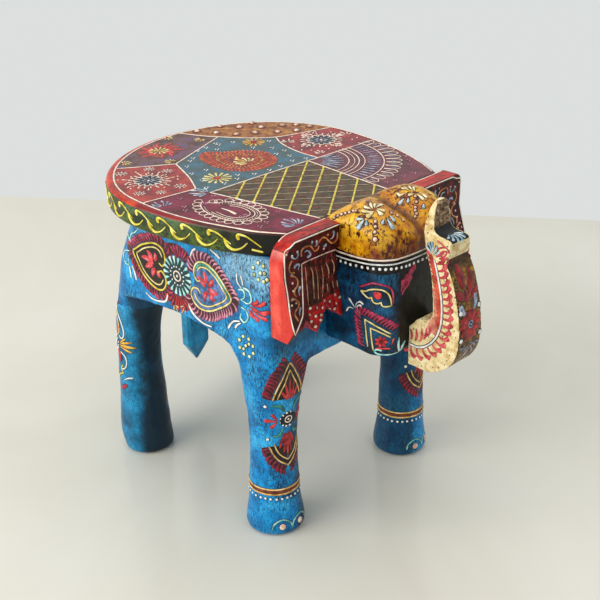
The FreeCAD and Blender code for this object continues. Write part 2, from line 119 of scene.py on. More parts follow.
def oil_paint(name, main, light, dark, patch=14.0, dirt=0.35, worn=None, worn_size=(1.0, 1.0, 7.0),
              worn_from=0.60, worn_to=0.68, rough=0.36, coat=0.15, relief=0.10, tints_and_painted_light=(), cracks=None):
    """Brushed oil paint under thin lacquer on carved wood: IOR 1.5, dielectric, satin.
    The brush leaves lighter and darker patches, dirt gathers in fine specks, and where a ground
    colour is given the paint is rubbed through to it in streaks of worn_size millimetres. A wash, either a
    tint of the paint or painted light and shade, is a colour, its strength and the places between which it
    comes in: each an axis, a start and an end.
    Cracks are hairlines round cells of the given size in millimetres."""
    made = bpy.data.materials.new(name)
    made.use_nodes = True
    made.diffuse_color = linear(main)
    tree = made.node_tree
    tree.nodes.clear()
    place = add(tree, "ShaderNodeTexCoord").outputs["Object"]
    size = add(tree, "ShaderNodeVectorMath", {0: place, 1: (1 / MM,) * 3}, operation="MULTIPLY")
    broad = add(tree, "ShaderNodeTexNoise", {"Vector": size, "Scale": 1 / patch, "Detail": 3.0,
                                             "Roughness": 0.6})
    fine = add(tree, "ShaderNodeTexNoise", {"Vector": size, "Scale": 1 / SPECK, "Detail": 5.0,
                                            "Roughness": 0.65})
    tone = add(tree, "ShaderNodeValToRGB", {0: broad},
               [(0.36, linear(dark)), (0.50, linear(main)), (0.66, linear(light))])
    speck = add(tree, "ShaderNodeValToRGB", {0: fine}, [(0.50, grey(0.0)), (0.72, grey(dirt))])
    colour = add(tree, "ShaderNodeMixRGB", {0: speck, 1: tone, 2: linear(dark)})
    # Washes that tint the paint, and some that paint light or shade where it falls
    for tint, amount, ramps in tints_and_painted_light:
        for axis, start, end in ramps:
            along = add(tree, "ShaderNodeSeparateXYZ", {0: size}).outputs[axis]
            if axis == 0:
                along = add(tree, "ShaderNodeMath", {0: along}, operation="ABSOLUTE")
            span = abs(end - start)
            ragged = add(tree, "ShaderNodeMath", {0: broad, 1: span * 0.9, 2: along},
                         operation="MULTIPLY_ADD")
            part = add(tree, "ShaderNodeMapRange", {0: ragged, 1: start + span * 0.45, 2: end + span * 0.45,
                                                    3: 0.0, 4: 1.0}, interpolation_type="SMOOTHSTEP")
            amount = add(tree, "ShaderNodeMath", {0: part, 1: amount}, operation="MULTIPLY")
        colour = add(tree, "ShaderNodeMixRGB", {0: amount, 1: colour, 2: linear(tint)})
    height = fine
    if worn:
        stretched = add(tree, "ShaderNodeVectorMath", {0: size, 1: tuple(1 / s for s in worn_size)},
                        operation="MULTIPLY")
        streak = add(tree, "ShaderNodeTexNoise", {"Vector": stretched, "Scale": 1.0, "Detail": 4.0,
                                                  "Roughness": 0.7})
        region = add(tree, "ShaderNodeTexNoise", {"Vector": size, "Scale": 1 / RUBBED_REGION, "Detail": 2.0})
        shifted = add(tree, "ShaderNodeMath", {0: region, 1: 0.45, 2: -0.22}, operation="MULTIPLY_ADD")
        both = add(tree, "ShaderNodeMath", {0: streak, 1: shifted}, operation="ADD")
        rub = add(tree, "ShaderNodeValToRGB", {0: both}, [(worn_from, grey(0.0)), (worn_to, grey(1.0))])
        colour = add(tree, "ShaderNodeMixRGB", {0: rub, 1: colour, 2: linear(worn)})
        height = add(tree, "ShaderNodeMath", {0: rub, 1: -0.8, 2: fine}, operation="MULTIPLY_ADD")
    if cracks:
        wander = add(tree, "ShaderNodeTexNoise",
                     {"Vector": size, "Scale": 0.4, "Detail": 2.0}).outputs["Color"]
        moved = add(tree, "ShaderNodeVectorMath", {0: wander, 1: (3.0, 3.0, 3.0), 2: size},
                    operation="MULTIPLY_ADD")
        cells = add(tree, "ShaderNodeVectorMath", {0: moved, 1: tuple(1 / s for s in cracks)},
                    operation="MULTIPLY")
        gap = add(tree, "ShaderNodeTexVoronoi", {"Vector": cells, "Scale": 1.0}, feature="DISTANCE_TO_EDGE")
        line = add(tree, "ShaderNodeMapRange",
                   {0: gap.outputs["Distance"], 1: 0.015, 2: 0.07, 3: 0.55, 4: 0.0})
        colour = add(tree, "ShaderNodeMixRGB", {0: line, 1: colour, 2: linear(worn)})
        height = add(tree, "ShaderNodeMath", {0: line, 1: -0.6, 2: height}, operation="MULTIPLY_ADD")
    sheen = add(tree, "ShaderNodeMapRange", {0: fine, 1: 0.3, 2: 0.75, 3: rough - 0.07, 4: rough + 0.14})
    bump = add(tree, "ShaderNodeBump", {"Strength": 0.55, "Distance": relief * MM, "Height": height})
    skin = add(tree, "ShaderNodeBsdfPrincipled", {
        "Base Color": colour, "Roughness": sheen, "Normal": bump, "IOR": 1.5, "Specular IOR Level": 0.2,
        "Coat Weight": coat, "Coat Roughness": 0.22})
    add(tree, "ShaderNodeOutputMaterial", {0: skin})
    return made


def raised_paint(name, main, light, dark, rough=0.34):
    """Thick paint squeezed from a cone, as raised lines and dots: glossy, a little uneven."""
    return oil_paint(name, main, light, dark, patch=5.0, dirt=0.25, rough=rough, coat=0.25, relief=0.08)


# Grounds: the broad painted surfaces
grounds = {
    # Azure rubbed through in upright hairline cracks to a dark ground. Painted shade darkens the legs' inner
    # sides and the belly, the rear legs' fronts under the body's lower edge and the chest below the ear; a
    # painted highlight, partly paint worn lighter, brightens the upper flank by the ear
    "body blue": oil_paint("body_azure_oil_paint", "#0e92d8", "#38b4f0", "#0a70ae", 18.0, 0.4,
                           "#06243c", (0.7, 0.7, 4.2), 0.535, 0.62, 0.34, 0.05, 0.18,
                           [("#0b2233", 0.85, [(1, 110.0, 105.0), (1, 58.0, 66.0), (2, 153.5, 151.5)]),
                            ("#06202f", 0.8, [(0, 76.0, 64.0), (2, 152.0, 138.0)]),
                            ("#0d2c3e", 0.8, [(1, -54.0, -64.0), (2, 150.0, 172.0)]),
                            ("#a8d8ee", 0.6, [(1, 8.0, -22.0), (2, 196.0, 216.0), (0, 84.0, 89.0)])],
                           (3.0, 3.0, 6.5)),
    # The rear legs are a duller blue, with painted shade in dark teal on the side that faces the front legs
    # and a painted highlight in bright azure high on their back
    "rear leg blue": oil_paint("rear_leg_teal_blue_paint", "#147aa8", "#1e92c4", "#0e5c80", 18.0, 0.4,
                               "#0a2c40", (0.9, 0.9, 4.5), 0.60, 0.72, 0.34, 0.1, 0.14,
                               [("#081e28", 0.95, [(1, 110.0, 102.0)]),
                                ("#36b0ea", 0.7, [(2, 122.0, 140.0), (1, 108.0, 114.0)])], (3.6, 3.6, 7.0)),
    "tail blue": oil_paint("tail_blue_paint", "#2398c6", "#35aede", "#166c96", 16.0, 0.4,
                           "#0a2c44", (0.9, 0.9, 5.0), 0.58, 0.70, 0.34, 0.2, 0.14),
    # Darker blue on the head, near black between the trunk and the cheeks and under the jaw, partly black
    # paint and partly painted shadow of the trunk
    "face blue": oil_paint("face_blue_oil_paint", "#0a4268", "#156694", "#062236", 12.0, 0.5,
                           "#040b14", (1.1, 1.1, 5.0), 0.52, 0.64, 0.36, 0.1, 0.12,
                           [("#040507", 1.0, [(0, 30.0, 21.0), (1, -110.0, -115.0)])], (2.6, 2.6, 5.0)),
    "black": oil_paint("black_band_paint", "#07080b", "#121318", "#030304", 9.0, 0.3, rough=0.33),
    # Gold rubbed to brown in clouds, with painted shade in maroon beside the ear and in the valley between
    # the domes, darker maroon at its foot, and a painted highlight in bright yellow high on its outer side
    "dome gold": oil_paint("dome_gold_oil_paint", "#d68e08", "#f0b818", "#9c4e0a", 8.0, 0.5,
                           "#44160a", (3.0, 3.0, 5.0), 0.525, 0.60, 0.33, 0.25, 0.22,
                           [("#451408", 0.7, [(0, 5.0, 1.5)]),
                            ("#f6d040", 0.35, [(0, 22.0, 34.0), (2, 238.0, 246.0)]),
                            ("#4a1010", 0.9, [(0, 38.6, 39.6), (1, -68.0, -64.0)]),
                            ("#6a200c", 0.75, [(1, -94.0, -106.0), (2, 250.0, 236.0)])]),
    "trunk cream": oil_paint("trunk_cream_paint", "#e6d3a0", "#f6e9c0", "#c9ab6c", 6.0, 0.5,
                             "#3a2414", (1.2, 1.2, 1.5), 0.63, 0.72, 0.40, 0.12, 0.14),
    "trunk tan": oil_paint("trunk_front_gold_paint", "#6e4e22", "#b8841c", "#483820", 4.0, 0.6,
                           "#1a0d08", (1.8, 1.8, 2.2), 0.54, 0.62, 0.36, 0.1, 0.2,
                           [("#2a1710", 0.8, [(2, 224.0, 231.0)])]),
    "tip brown": oil_paint("trunk_tip_speckled_paint", "#7a5c40", "#ccae86", "#3c281c", 3.4, 0.6,
                           "#16100c", (1.6, 1.6, 1.9), 0.55, 0.65, 0.42, 0.1, 0.2,
                           [("#0e0b0c", 0.95, [(2, 254.0, 244.0)])]),
    "tip dark": oil_paint("trunk_lip_black_paint", "#0a090b", "#1c1a1c", "#040404", 5.0, 0.4, rough=0.36),
    # Lacquered coral red with a few brown scratches, deeper red towards the front, darker towards the lower
    # back corner, and a painted highlight in pale pink at the top outer corner
    "ear coral": oil_paint("ear_coral_lacquer", "#dc3c2e", "#f05c4a", "#b4201a", 16.0, 0.3,
                           "#3c0c08", (2.0, 2.0, 4.5), 0.64, 0.76, 0.26, 0.35, 0.12,
                           [("#cc1e0c", 0.85, [(1, -69.5, -74.0)]),
                            ("#f6b4a6", 0.5, [(2, 238.0, 246.0), (0, 88.0, 92.0)]),
                            ("#5a100c", 0.5, [(1, -66.0, -63.0), (2, 200.0, 186.0)])]),
    "ear top": oil_paint("ear_top_crimson_lacquer", "#a8140e", "#cc2a1a", "#6c0c0a", 8.0, 0.4,
                         "#2a0806", (5.0, 1.6, 1.6), 0.56, 0.70, 0.30, 0.15, 0.12),
    "ear maroon": oil_paint("ear_border_maroon", "#40050c", "#740c12", "#180206", 6.0, 0.5,
                             "#0c0104", (1.8, 1.8, 2.6), 0.56, 0.68, 0.36, 0.08, 0.12),
    "ear fold": oil_paint("ear_fold_brown_red", "#571710", "#a02c20", "#2a130b", 5.0, 0.5,
                           "#1c0d06", (0.8, 0.8, 9.0), 0.48, 0.58, 0.42, 0.08, 0.16),
    "ear tip": oil_paint("ear_fold_tip_red", "#a41014", "#c41e1c", "#6a0a0c", 6.0, 0.4,
                         rough=0.36, coat=0.08),
    "seat tan": oil_paint("seat_tan_patch", "#9c5a24", "#c08a34", "#6e381a", 7.0, 0.5),
    "seat purple": oil_paint("seat_purple_patch", "#6a4a48", "#6a4a76", "#4c3030", 12.0, 0.35),
    "seat coral": oil_paint("seat_coral_patch", "#9c3230", "#b84236", "#782a2c", 14.0, 0.3),
    "seat maroon": oil_paint("seat_maroon_patch", "#721532", "#86203e", "#561420", 14.0, 0.3),
    "seat teal": oil_paint("seat_teal_patch", "#42606c", "#3a6e86", "#46544e", 12.0, 0.35),
    "seat olive": oil_paint("seat_olive_patch", "#4a3c26", "#5e4828", "#332a1a", 6.0, 0.4),
    "seat red": oil_paint("seat_red_patch", "#8c2a32", "#ae3830", "#66282e", 12.0, 0.3),
    "seat fan": oil_paint("seat_fan_patch", "#6a2e38", "#7c3644", "#50262e", 12.0, 0.3),
    "seat band": oil_paint("seat_red_border", "#c0341c", "#de5026", "#8a2016", 16.0, 0.35,
                           "#2c0f0b", (2.6, 2.6, 1.6), 0.60, 0.74, 0.30, 0.2,
                           tints_and_painted_light=[("#7c1822", 0.85, [(1, 74.0, 40.0)]),
                                   ("#2e2418", 0.8, [(1, 14.0, -12.0)])]),
    "rim green": oil_paint("rim_dark_green", "#3e5018", "#586f24", "#1a2a16", 11.0, 0.5,
                           "#0a130e", (3.0, 3.0, 1.4), 0.53, 0.68, 0.32, 0.15, 0.12,
                           [("#6d9c86", 0.25, [(2, 240.5, 246.5), (1, -4.0, 22.0), (1, 84.0, 60.0)]),
                            ("#0d0b09", 0.97, [(1, -6.0, -36.0)])]),
    "underside": oil_paint("underside_brown_stain", "#3a2a1e", "#503a28", "#241a14", 14.0, 0.4, rough=0.55,
                           coat=0.0),
    "dowel": oil_paint("dowel_bare_wood", "#b98f5e", "#cda877", "#93693f", 9.0, 0.4,
                       "#7d5632", (0.8, 0.8, 12.0), 0.60, 0.70, 0.62, 0.0, 0.12),
}
# Raised lines, thin washes and small grounds, the edge washes being outlines and painted shadow: the finish,
# its main, light and dark tones, its roughness
paints = {shade: raised_paint(*finish) for shade, finish in {
    "cream": ("cream_line_paint", "#f8e2ce", "#fff4e8", "#dcc0aa"),
    "pale cream": ("pale_cream_petal_paint", "#f2e7b4", "#fdf8dc", "#d0b878"),
    "white": ("white_dot_paint", "#eef0ec", "#ffffff", "#c9d2d2"),
    "yellow": ("yellow_line_paint", "#e6cf3c", "#f6e66a", "#b79a28"),
    "pale yellow": ("pale_yellow_line_paint", "#e8d98c", "#f8efb8", "#bfa85a"),
    "pale lime": ("pale_lime_dot_paint", "#e6eca8", "#f6fad4", "#b4b878"),
    "rim yellow": ("rim_yellow_paint", "#e4d63a", "#f8f08c", "#b8a224"),
    "tan line": ("tan_line_paint", "#e4ba6a", "#f6da9c", "#b08240"),
    "pink tan": ("pink_tan_fold_line_paint", "#c8966e", "#e4bc98", "#94603e"),
    "gold": ("gold_petal_paint", "#e0a83a", "#f4cc5c", "#ab7626"),
    "red": ("red_petal_paint", "#b8242a", "#dc443c", "#80161c"),
    "deep red": ("deep_red_fringe_paint", "#86142c", "#a8223c", "#520b1a"),
    "bright red": ("bright_red_petal_paint", "#d8323a", "#ee5a55", "#a31f28"),
    "magenta": ("magenta_fringe_paint", "#b02a50", "#cc4a70", "#7a1a38"),
    "pink": ("pink_fringe_paint", "#cc7f9a", "#e2aabc", "#9c5872"),
    "turquoise": ("turquoise_petal_paint", "#7cc4bd", "#b5e4dc", "#3f8f8c"),
    "aqua": ("aqua_daisy_paint", "#aee8e2", "#dcf8f4", "#6cbcbc"),
    "teal": ("teal_leaf_paint", "#2f8f80", "#58b5a4", "#1c5c58"),
    "slate": ("slate_blue_leaf_paint", "#949fb4", "#c4ccd8", "#5e6a84"),
    "sky": ("sky_petal_paint", "#b4cdd6", "#e4f0f2", "#7a9db0"),
    "orange": ("orange_bead_paint", "#dc5a30", "#f08648", "#a83c20"),
    "vine": ("orange_vine_paint", "#c4743c", "#dc9a5c", "#8c4a22"),
    "coral": ("coral_leaf_paint", "#c84450", "#e07070", "#9a2830"),
    "orange red": ("orange_red_leaf_paint", "#c8402a", "#e0603c", "#93281a"),
    "pink coral": ("pink_coral_trunk_ground", "#cc7c64", "#e4a08a", "#a85844"),
    "maroon": ("maroon_petal_paint", "#8e1a20", "#a82c2e", "#5a0e12"),
    "bead": ("pink_white_bead_paint", "#e9c4ad", "#fbe6d8", "#b98a72"),
    "brown": ("brown_ground_paint", "#6e2f1d", "#8a4426", "#451c12"),
    "dark": ("blue_black_line_paint", "#0b1119", "#16222e", "#05070a"),
    # Edge washes: dark outlines under raised paint that also stand for its painted shadow
    "edge": ("dark_outline_and_painted_shadow", "#0a0d14", "#141a22", "#040508", 0.42),
    "brown edge": ("brown_outline_and_painted_shadow", "#2c110b", "#43190f", "#180806", 0.42),
    "red edge": ("red_brown_outline_and_painted_shadow", "#6e2218", "#86301f", "#4a140e", 0.42),
    "deep maroon": ("deep_maroon_ground", "#4a0c1e", "#641430", "#260812", 0.40),
    "deep brown": ("deep_brown_ground", "#1f120d", "#2e1a12", "#100907", 0.40),
    "heart blue": ("heart_violet_blue_ground", "#3c6ea4", "#7488c0", "#1c4668", 0.40),
    "deep teal": ("deep_teal_ground", "#0c3038", "#14464e", "#061c22", 0.40),
    "lattice tan": ("lattice_thin_tan_paint", "#cdb48c", "#e6d2ae", "#a08660", 0.40),
    "dull red": ("lattice_dull_red_paint", "#8c3426", "#a84834", "#642418", 0.40),
}.items()}


def link(piece):
    bpy.context.scene.collection.objects.link(piece)
    return piece


def piece_from(name, points, faces, shades, picks, smooth=True):
    """An object from points in millimetres, with one material slot for each shade."""
    mesh = bpy.data.meshes.new(name)
    mesh.from_pydata([Vector(p) * MM for p in points], [], faces)
    for shade in shades:
        mesh.materials.append(shade)
    mesh.polygons.foreach_set("material_index", picks)
    mesh.polygons.foreach_set("use_smooth", [smooth] * len(faces))
    mesh.update()
    return link(bpy.data.objects.new(name, mesh))


def carved(name, sources, voxel, easing, wobble, shades, zone=None):
    """One skin over some solids, with eased edges and the slight waves of hand cutting. Where there
    is more than one shade, zone picks a face's from its middle, in millimetres, and its normal."""
    joined = bmesh.new()
    for source in sources:
        joined.from_mesh(nodes[source].data)
    mesh = bpy.data.meshes.new(name)
    joined.to_mesh(mesh)
    joined.free()
    piece = link(bpy.data.objects.new(name, mesh))
    skin = piece.modifiers.new("skin", "REMESH")
    skin.mode = "VOXEL"
    skin.voxel_size = voxel * MM
    ease = piece.modifiers.new("ease", "SMOOTH")
    ease.factor = 0.5
    ease.iterations = easing
    done = bpy.data.meshes.new_from_object(piece.evaluated_get(bpy.context.evaluated_depsgraph_get()))
    piece.modifiers.clear()
    piece.data = done
    done.name = name
    shifts = []
    for vertex in done.vertices:
        p = vertex.co / MM
        wave = noise.noise(p / BROAD_WAVE) + FINE_SHARE * noise.noise(p / FINE_WAVE)
        shifts.append(vertex.co + vertex.normal * (wave * wobble * MM))
    for vertex, place in zip(done.vertices, shifts):
        vertex.co = place
    done.materials.clear()
    for shade in shades:
        done.materials.append(grounds[shade])
    for face in done.polygons:
        face.use_smooth = True
        face.material_index = shades.index(zone(face.center / MM, face.normal)) if zone else 0
    done.update()
    return piece


def skin_of(*pieces):
    """What strokes are laid on: the surface of some pieces, in millimetres."""
    points = []
    faces = []
    for piece in pieces:
        start = len(points)
        points += [v.co / MM for v in piece.data.vertices]
        faces += [[start + i for i in face.vertices] for face in piece.data.polygons]
    return BVHTree.FromPolygons(points, faces)


# The camera, fitted to the photograph: 68.9 mm lens on a 36 mm frame
EYE = Vector((-573.9, -571.1, 553.0))
TURN = math.radians(-44.96)
RISE = math.radians(26.41)
ROLL = math.radians(-0.88)
back = Vector((math.sin(TURN) * math.cos(RISE), -math.cos(TURN) * math.cos(RISE), math.sin(RISE)))
level = (-back).cross(Vector((0, 0, 1))).normalized()
upright = level.cross(-back)
right = level * math.cos(ROLL) + upright * math.sin(ROLL)
upward = upright * math.cos(ROLL) - level * math.sin(ROLL)


# Shapes a stroke can have along its length: share of the length and share of the width
LINE = [(0.0, 0.6), (0.04, 1.0), (0.96, 1.0), (1.0, 0.6)]
COMMA = [(0.0, 0.2), (0.45, 0.6), (0.8, 1.0), (0.95, 0.85), (1.0, 0.4)]
LEAF = [(0.0, 0.25), (0.4, 1.0), (0.7, 0.8), (1.0, 0.2)]


def smooth_path(points, step):
    """Points a step apart on a smooth curve through the given ones."""
    path = []
    ends = [points[0]] + list(points) + [points[-1]]
    for a, b, c, d in zip(ends, ends[1:], ends[2:], ends[3:]):
        count = max(1, round(math.dist(b, c) / step))
        for i in range(count):
            t = i / count
            path.append(tuple(0.5 * (2 * q + (r - p) * t + (2 * p - 5 * q + 4 * r - s) * t * t
                                     + (3 * q - p - 3 * r + s) * t ** 3)
                              for p, q, r, s in zip(a, b, c, d)))
    path.append(tuple(points[-1]))
    return path


def straight_path(points, step):
    """Points a step apart on the straight lines between the given ones."""
    path = []
    for a, b in zip(points, points[1:]):
        count = max(1, round(math.dist(a, b) / step))
        path += [tuple(p + (q - p) * i / count for p, q in zip(a, b)) for i in range(count)]
    path.append(tuple(points[-1]))
    return path


def ring(middle, radius, start=0.0, end=360.0, flat=1.0, count=24):
    """Points round a circle, or along an arc of it, in degrees."""
    angles = [math.radians(start + (end - start) * i / count) for i in range(count + 1)]
    return [(middle[0] + radius * math.cos(a), middle[1] + radius * flat * math.sin(a)) for a in angles]


def away(place, angle, reach):
    """The place at some distance from another, at an angle in degrees."""
    turn = math.radians(angle)
    return (place[0] + reach * math.cos(turn), place[1] + reach * math.sin(turn))


def paced(path, pitch, gone):
    """Places a pitch apart along a smooth path, each with its heading in degrees. The first comes
    when what is left of its pitch is gone."""
    fine = smooth_path(path, 0.5)
    for a, b in zip(fine, fine[1:]):
        gone += math.dist(a, b)
        if gone >= pitch:
            gone -= pitch
            yield b, math.degrees(math.atan2(b[1] - a[1], b[0] - a[0]))


def drawn_in(path, middle, share):
    """The same path, drawn in towards a middle."""
    return [(middle[0] + (u - middle[0]) * share, middle[1] + (v - middle[1]) * share) for u, v in path]


def midway(start, end, share):
    return tuple(a + (b - a) * share for a, b in zip(start, end))


def share_at(profile, t):
    for (a, first), (b, second) in zip(profile, profile[1:]):
        if t <= b:
            return first + (second - first) * (t - a) / (b - a)
    return profile[-1][1]


class Sheet:
    """Raised paint laid on one surface. Strokes are given in millimetres across the sheet, and aim
    turns such a place into the start and direction of the ray that finds it on the carved skin."""

    def __init__(self, name, skin, aim, slot, edge=None, edge_width=0.9):
        self.name, self.skin, self.aim, self.slot = name, skin, aim, slot
        self.edge, self.edge_width = edge, edge_width
        self.points, self.faces, self.picks, self.shades = [], [], [], []

    def pick(self, shade):
        if shade not in self.shades:
            self.shades.append(shade)
        return self.shades.index(shade)

    def land(self, place):
        """Where a place of the sheet lies on the skin, with the skin's normal there."""
        start, way = self.aim(place[0], place[1])
        spot, normal, index, distance = self.skin.ray_cast(start, way)
        if spot is None:
            return None
        return spot, (normal if normal.dot(way) < 0 else -normal)

    def stroke(self, points, width, shade, profile=LINE, rise=0.4, step=0.9, curved=True):
        """A raised line through the points, wider or narrower along its length as its profile says."""
        path = (smooth_path if curved else straight_path)(points, step)
        if len(path) < 4:
            path = smooth_path(points, math.dist(points[0], points[-1]) / 5 + 0.01)
        run = []
        for i, place in enumerate(path):
            found = self.land(place)
            # A stroke parts where the skin ends or falls away from it
            if run and (found is None or (found[0] - run[-1][0]).length > 6 * step):
                self.body(run, width, shade, profile, rise)
                run = []
            if found:
                run.append(found + (i / (len(path) - 1),))
        self.body(run, width, shade, profile, rise)

    def strokes(self, paths, width, shade, profile=LINE, rise=0.4):
        for path in paths:
            self.stroke(path, width, shade, profile, rise)

    def body(self, run, width, shade, profile, rise):
        """The raised body of a stroke along one unbroken run, over its outline and painted shadow."""
        if len(run) < 3:
            return
        # A wider dark wash under the stroke: its outline and its painted shadow
        if self.edge and shade != self.edge and rise > THIN:
            widened = [(t, share + self.edge_width / width) for t, share in profile]
            self.body(run, width, self.edge, widened, WASH)
        colour = self.pick(shade)
        start = len(self.points)
        last = len(run) - 1
        for i, (spot, normal, t) in enumerate(run):
            near = run[max(0, i - 2):i + 3]
            out = sum((n for s, n, u in near), Vector()).normalized()
            along = (run[min(last, i + 1)][0] - run[max(0, i - 1)][0]).normalized()
            across = out.cross(along).normalized()
            share = share_at(profile, t)
            half = width * share / 2
            top = rise * (0.45 + 0.55 * share)
            for a, h in ((-1.0, SUNK), (-0.72, 0.72 * top), (0.0, top), (0.72, 0.72 * top), (1.0, SUNK)):
                self.points.append(spot + across * (a * half) + out * h)
        count = 5
        for i in range(last):
            for j in range(count):
                a = start + i * count + j
                b = start + i * count + (j + 1) % count
                self.faces.append((a, b, b + count, a + count))
                self.picks.append(colour)
        self.faces.append(tuple(start + j for j in reversed(range(count))))
        self.faces.append(tuple(start + last * count + j for j in range(count)))
        self.picks += [colour, colour]

    def dot(self, place, radius, shade, rise=0.55, long=1.0, turn=0.0):
        """A dome of paint, round or drawn out to a multiple of its width."""
        found = self.land(place)
        if found is None:
            return
        # A wider dark wash under the dot: its outline and its painted shadow
        if self.edge and shade != self.edge and rise > THIN:
            grown = radius + self.edge_width / 2
            self.dot(place, grown, self.edge, WASH, (radius * long + self.edge_width / 2) / grown, turn)
        colour = self.pick(shade)
        spot, out = found
        side = out.cross(Vector((0, 0, 1)) if abs(out.z) < 0.9 else Vector((0, 1, 0))).normalized()
        other = out.cross(side)
        turned = math.radians(turn)
        first = side * math.cos(turned) + other * math.sin(turned)
        second = other * math.cos(turned) - side * math.sin(turned)
        start = len(self.points)
        count = 10
        for share, height in ((1.0, SUNK), (0.93, 0.45 * rise), (0.6, 0.88 * rise)):
            for i in range(count):
                angle = 2 * math.pi * i / count
                reach = first * (math.cos(angle) * radius * long) + second * (math.sin(angle) * radius)
                self.points.append(spot + reach * share + out * height)
        self.points.append(spot + out * rise)
        for row in range(2):
            for i in range(count):
                a = start + row * count + i
                b = start + row * count + (i + 1) % count
                self.faces.append((a, b, b + count, a + count))
                self.picks.append(colour)
        for i in range(count):
            self.faces.append((start + 2 * count + i, start + 2 * count + (i + 1) % count,
                               start + 3 * count))
            self.picks.append(colour)
        self.faces.append(tuple(start + i for i in reversed(range(count))))
        self.picks.append(colour)

    def dots(self, places, radius, shade, rise=0.5, long=1.0):
        for place in places:
            self.dot(place, radius, shade, rise, long)

    def row_of_dots(self, path, pitch, radius, shade, rise=0.5):
        """Dots a pitch apart along a path."""
        self.dots([place for place, heading in paced(path, pitch, pitch / 2)], radius, shade, rise)

    def petal(self, start, end, width, shade, bend=0.0, profile=COMMA, rise=0.45):
        """One stroke from a place to another, bent to its left by a share of its length."""
        middle = ((start[0] + end[0]) / 2 - (end[1] - start[1]) * bend,
                  (start[1] + end[1]) / 2 + (end[0] - start[0]) * bend)
        self.stroke([start, middle, end], width, shade, profile, rise)

    def petals(self, places, width, shade, bend=0.0, profile=COMMA, rise=0.45):
        for start, end in places:
            self.petal(start, end, width, shade, bend, profile, rise)

    def fringe(self, path, side, length, pitch, width, shade, gap=0.0, lean=0.0, bend=0.12, rise=0.4):
        """Petals a pitch apart along a path, to its left or right, leaning forward by some degrees."""
        for place, heading in paced(path, pitch, pitch * 0.6):
            facing = heading + side * (90 - lean)
            self.petal(away(place, facing, gap), away(place, facing, gap + length), width, shade,
                       bend * side, COMMA, rise)

    def rays(self, middle, near, far, count, width, shade, start=0.0, end=360.0, profile=COMMA, rise=0.45):
        """Petals spread round a middle, between two distances from it, over some degrees."""
        full = abs(end - start) >= 360
        for i in range(count):
            share = i / count if full else i / max(1, count - 1)
            facing = start + (end - start) * share
            self.petal(away(middle, facing, near), away(middle, facing, far), width, shade, 0.0, profile,
                       rise)

    def laid(self, first, last, shade, rise=0.1, step=1.2):
        """A thin ground of paint between two paths of as many places each."""
        rows = max(2, round(max(math.dist(a, b) for a, b in zip(first, last)) / step))
        colour = self.pick(shade)
        grid = []
        for row in range(rows + 1):
            t = row / rows
            line = []
            for i, (a, b) in enumerate(zip(first, last)):
                found = self.land(midway(a, b, t))
                if found is None:
                    line.append(None)
                    continue
                outer = row in (0, rows) and math.dist(a, b) > 0.01
                line.append(len(self.points))
                self.points.append(found[0] + found[1] * (-0.15 if outer else rise))
            grid.append(line)
        for upper, lower in zip(grid, grid[1:]):
            for i in range(len(upper) - 1):
                corners = (upper[i], upper[i + 1], lower[i + 1], lower[i])
                if None in corners:
                    continue
                if (self.points[corners[0]] - self.points[corners[2]]).length <= WIDEST:
                    self.faces.append(corners)
                    self.picks.append(colour)

    def ground(self, path, near, far, shade, rise=0.1):
        """A thin ground along a path, from one distance to its left to another."""
        fine = smooth_path(path, 1.3)
        ways = []
        for i in range(len(fine)):
            a, b = fine[max(0, i - 1)], fine[min(len(fine) - 1, i + 1)]
            size = math.dist(a, b) or 1.0
            ways.append((-(b[1] - a[1]) / size, (b[0] - a[0]) / size))
        self.laid([(p[0] + w[0] * near, p[1] + w[1] * near) for p, w in zip(fine, ways)],
                  [(p[0] + w[0] * far, p[1] + w[1] * far) for p, w in zip(fine, ways)], shade, rise)

    def filled(self, path, middle, shade, rise=0.1):
        """A thin ground inside a closed path."""
        fine = smooth_path(path, 1.3)
        self.laid(fine, [middle] * len(fine), shade, rise)

    def finish(self):
        piece = piece_from(self.name, self.points, self.faces, [paints[s] for s in self.shades], self.picks)
        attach(piece, "root")


def stands_in(piece, node):
    """Has a carved piece take the place of its plain solid."""
    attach(piece, "root")
    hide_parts(node)


def from_above(u, v):
    return Vector((u, v, RAY_HEIGHT)), Vector((0, 0, -1))


def from_the_eye(point_at, mirror):
    """Aims from the camera, or from its mirror image, through a place on a plane of the stool."""
    eye = Vector((EYE.x * mirror, EYE.y, EYE.z))

    def aim(u, v):
        return eye, (Vector(point_at(u, v)) - eye).normalized()
    return aim


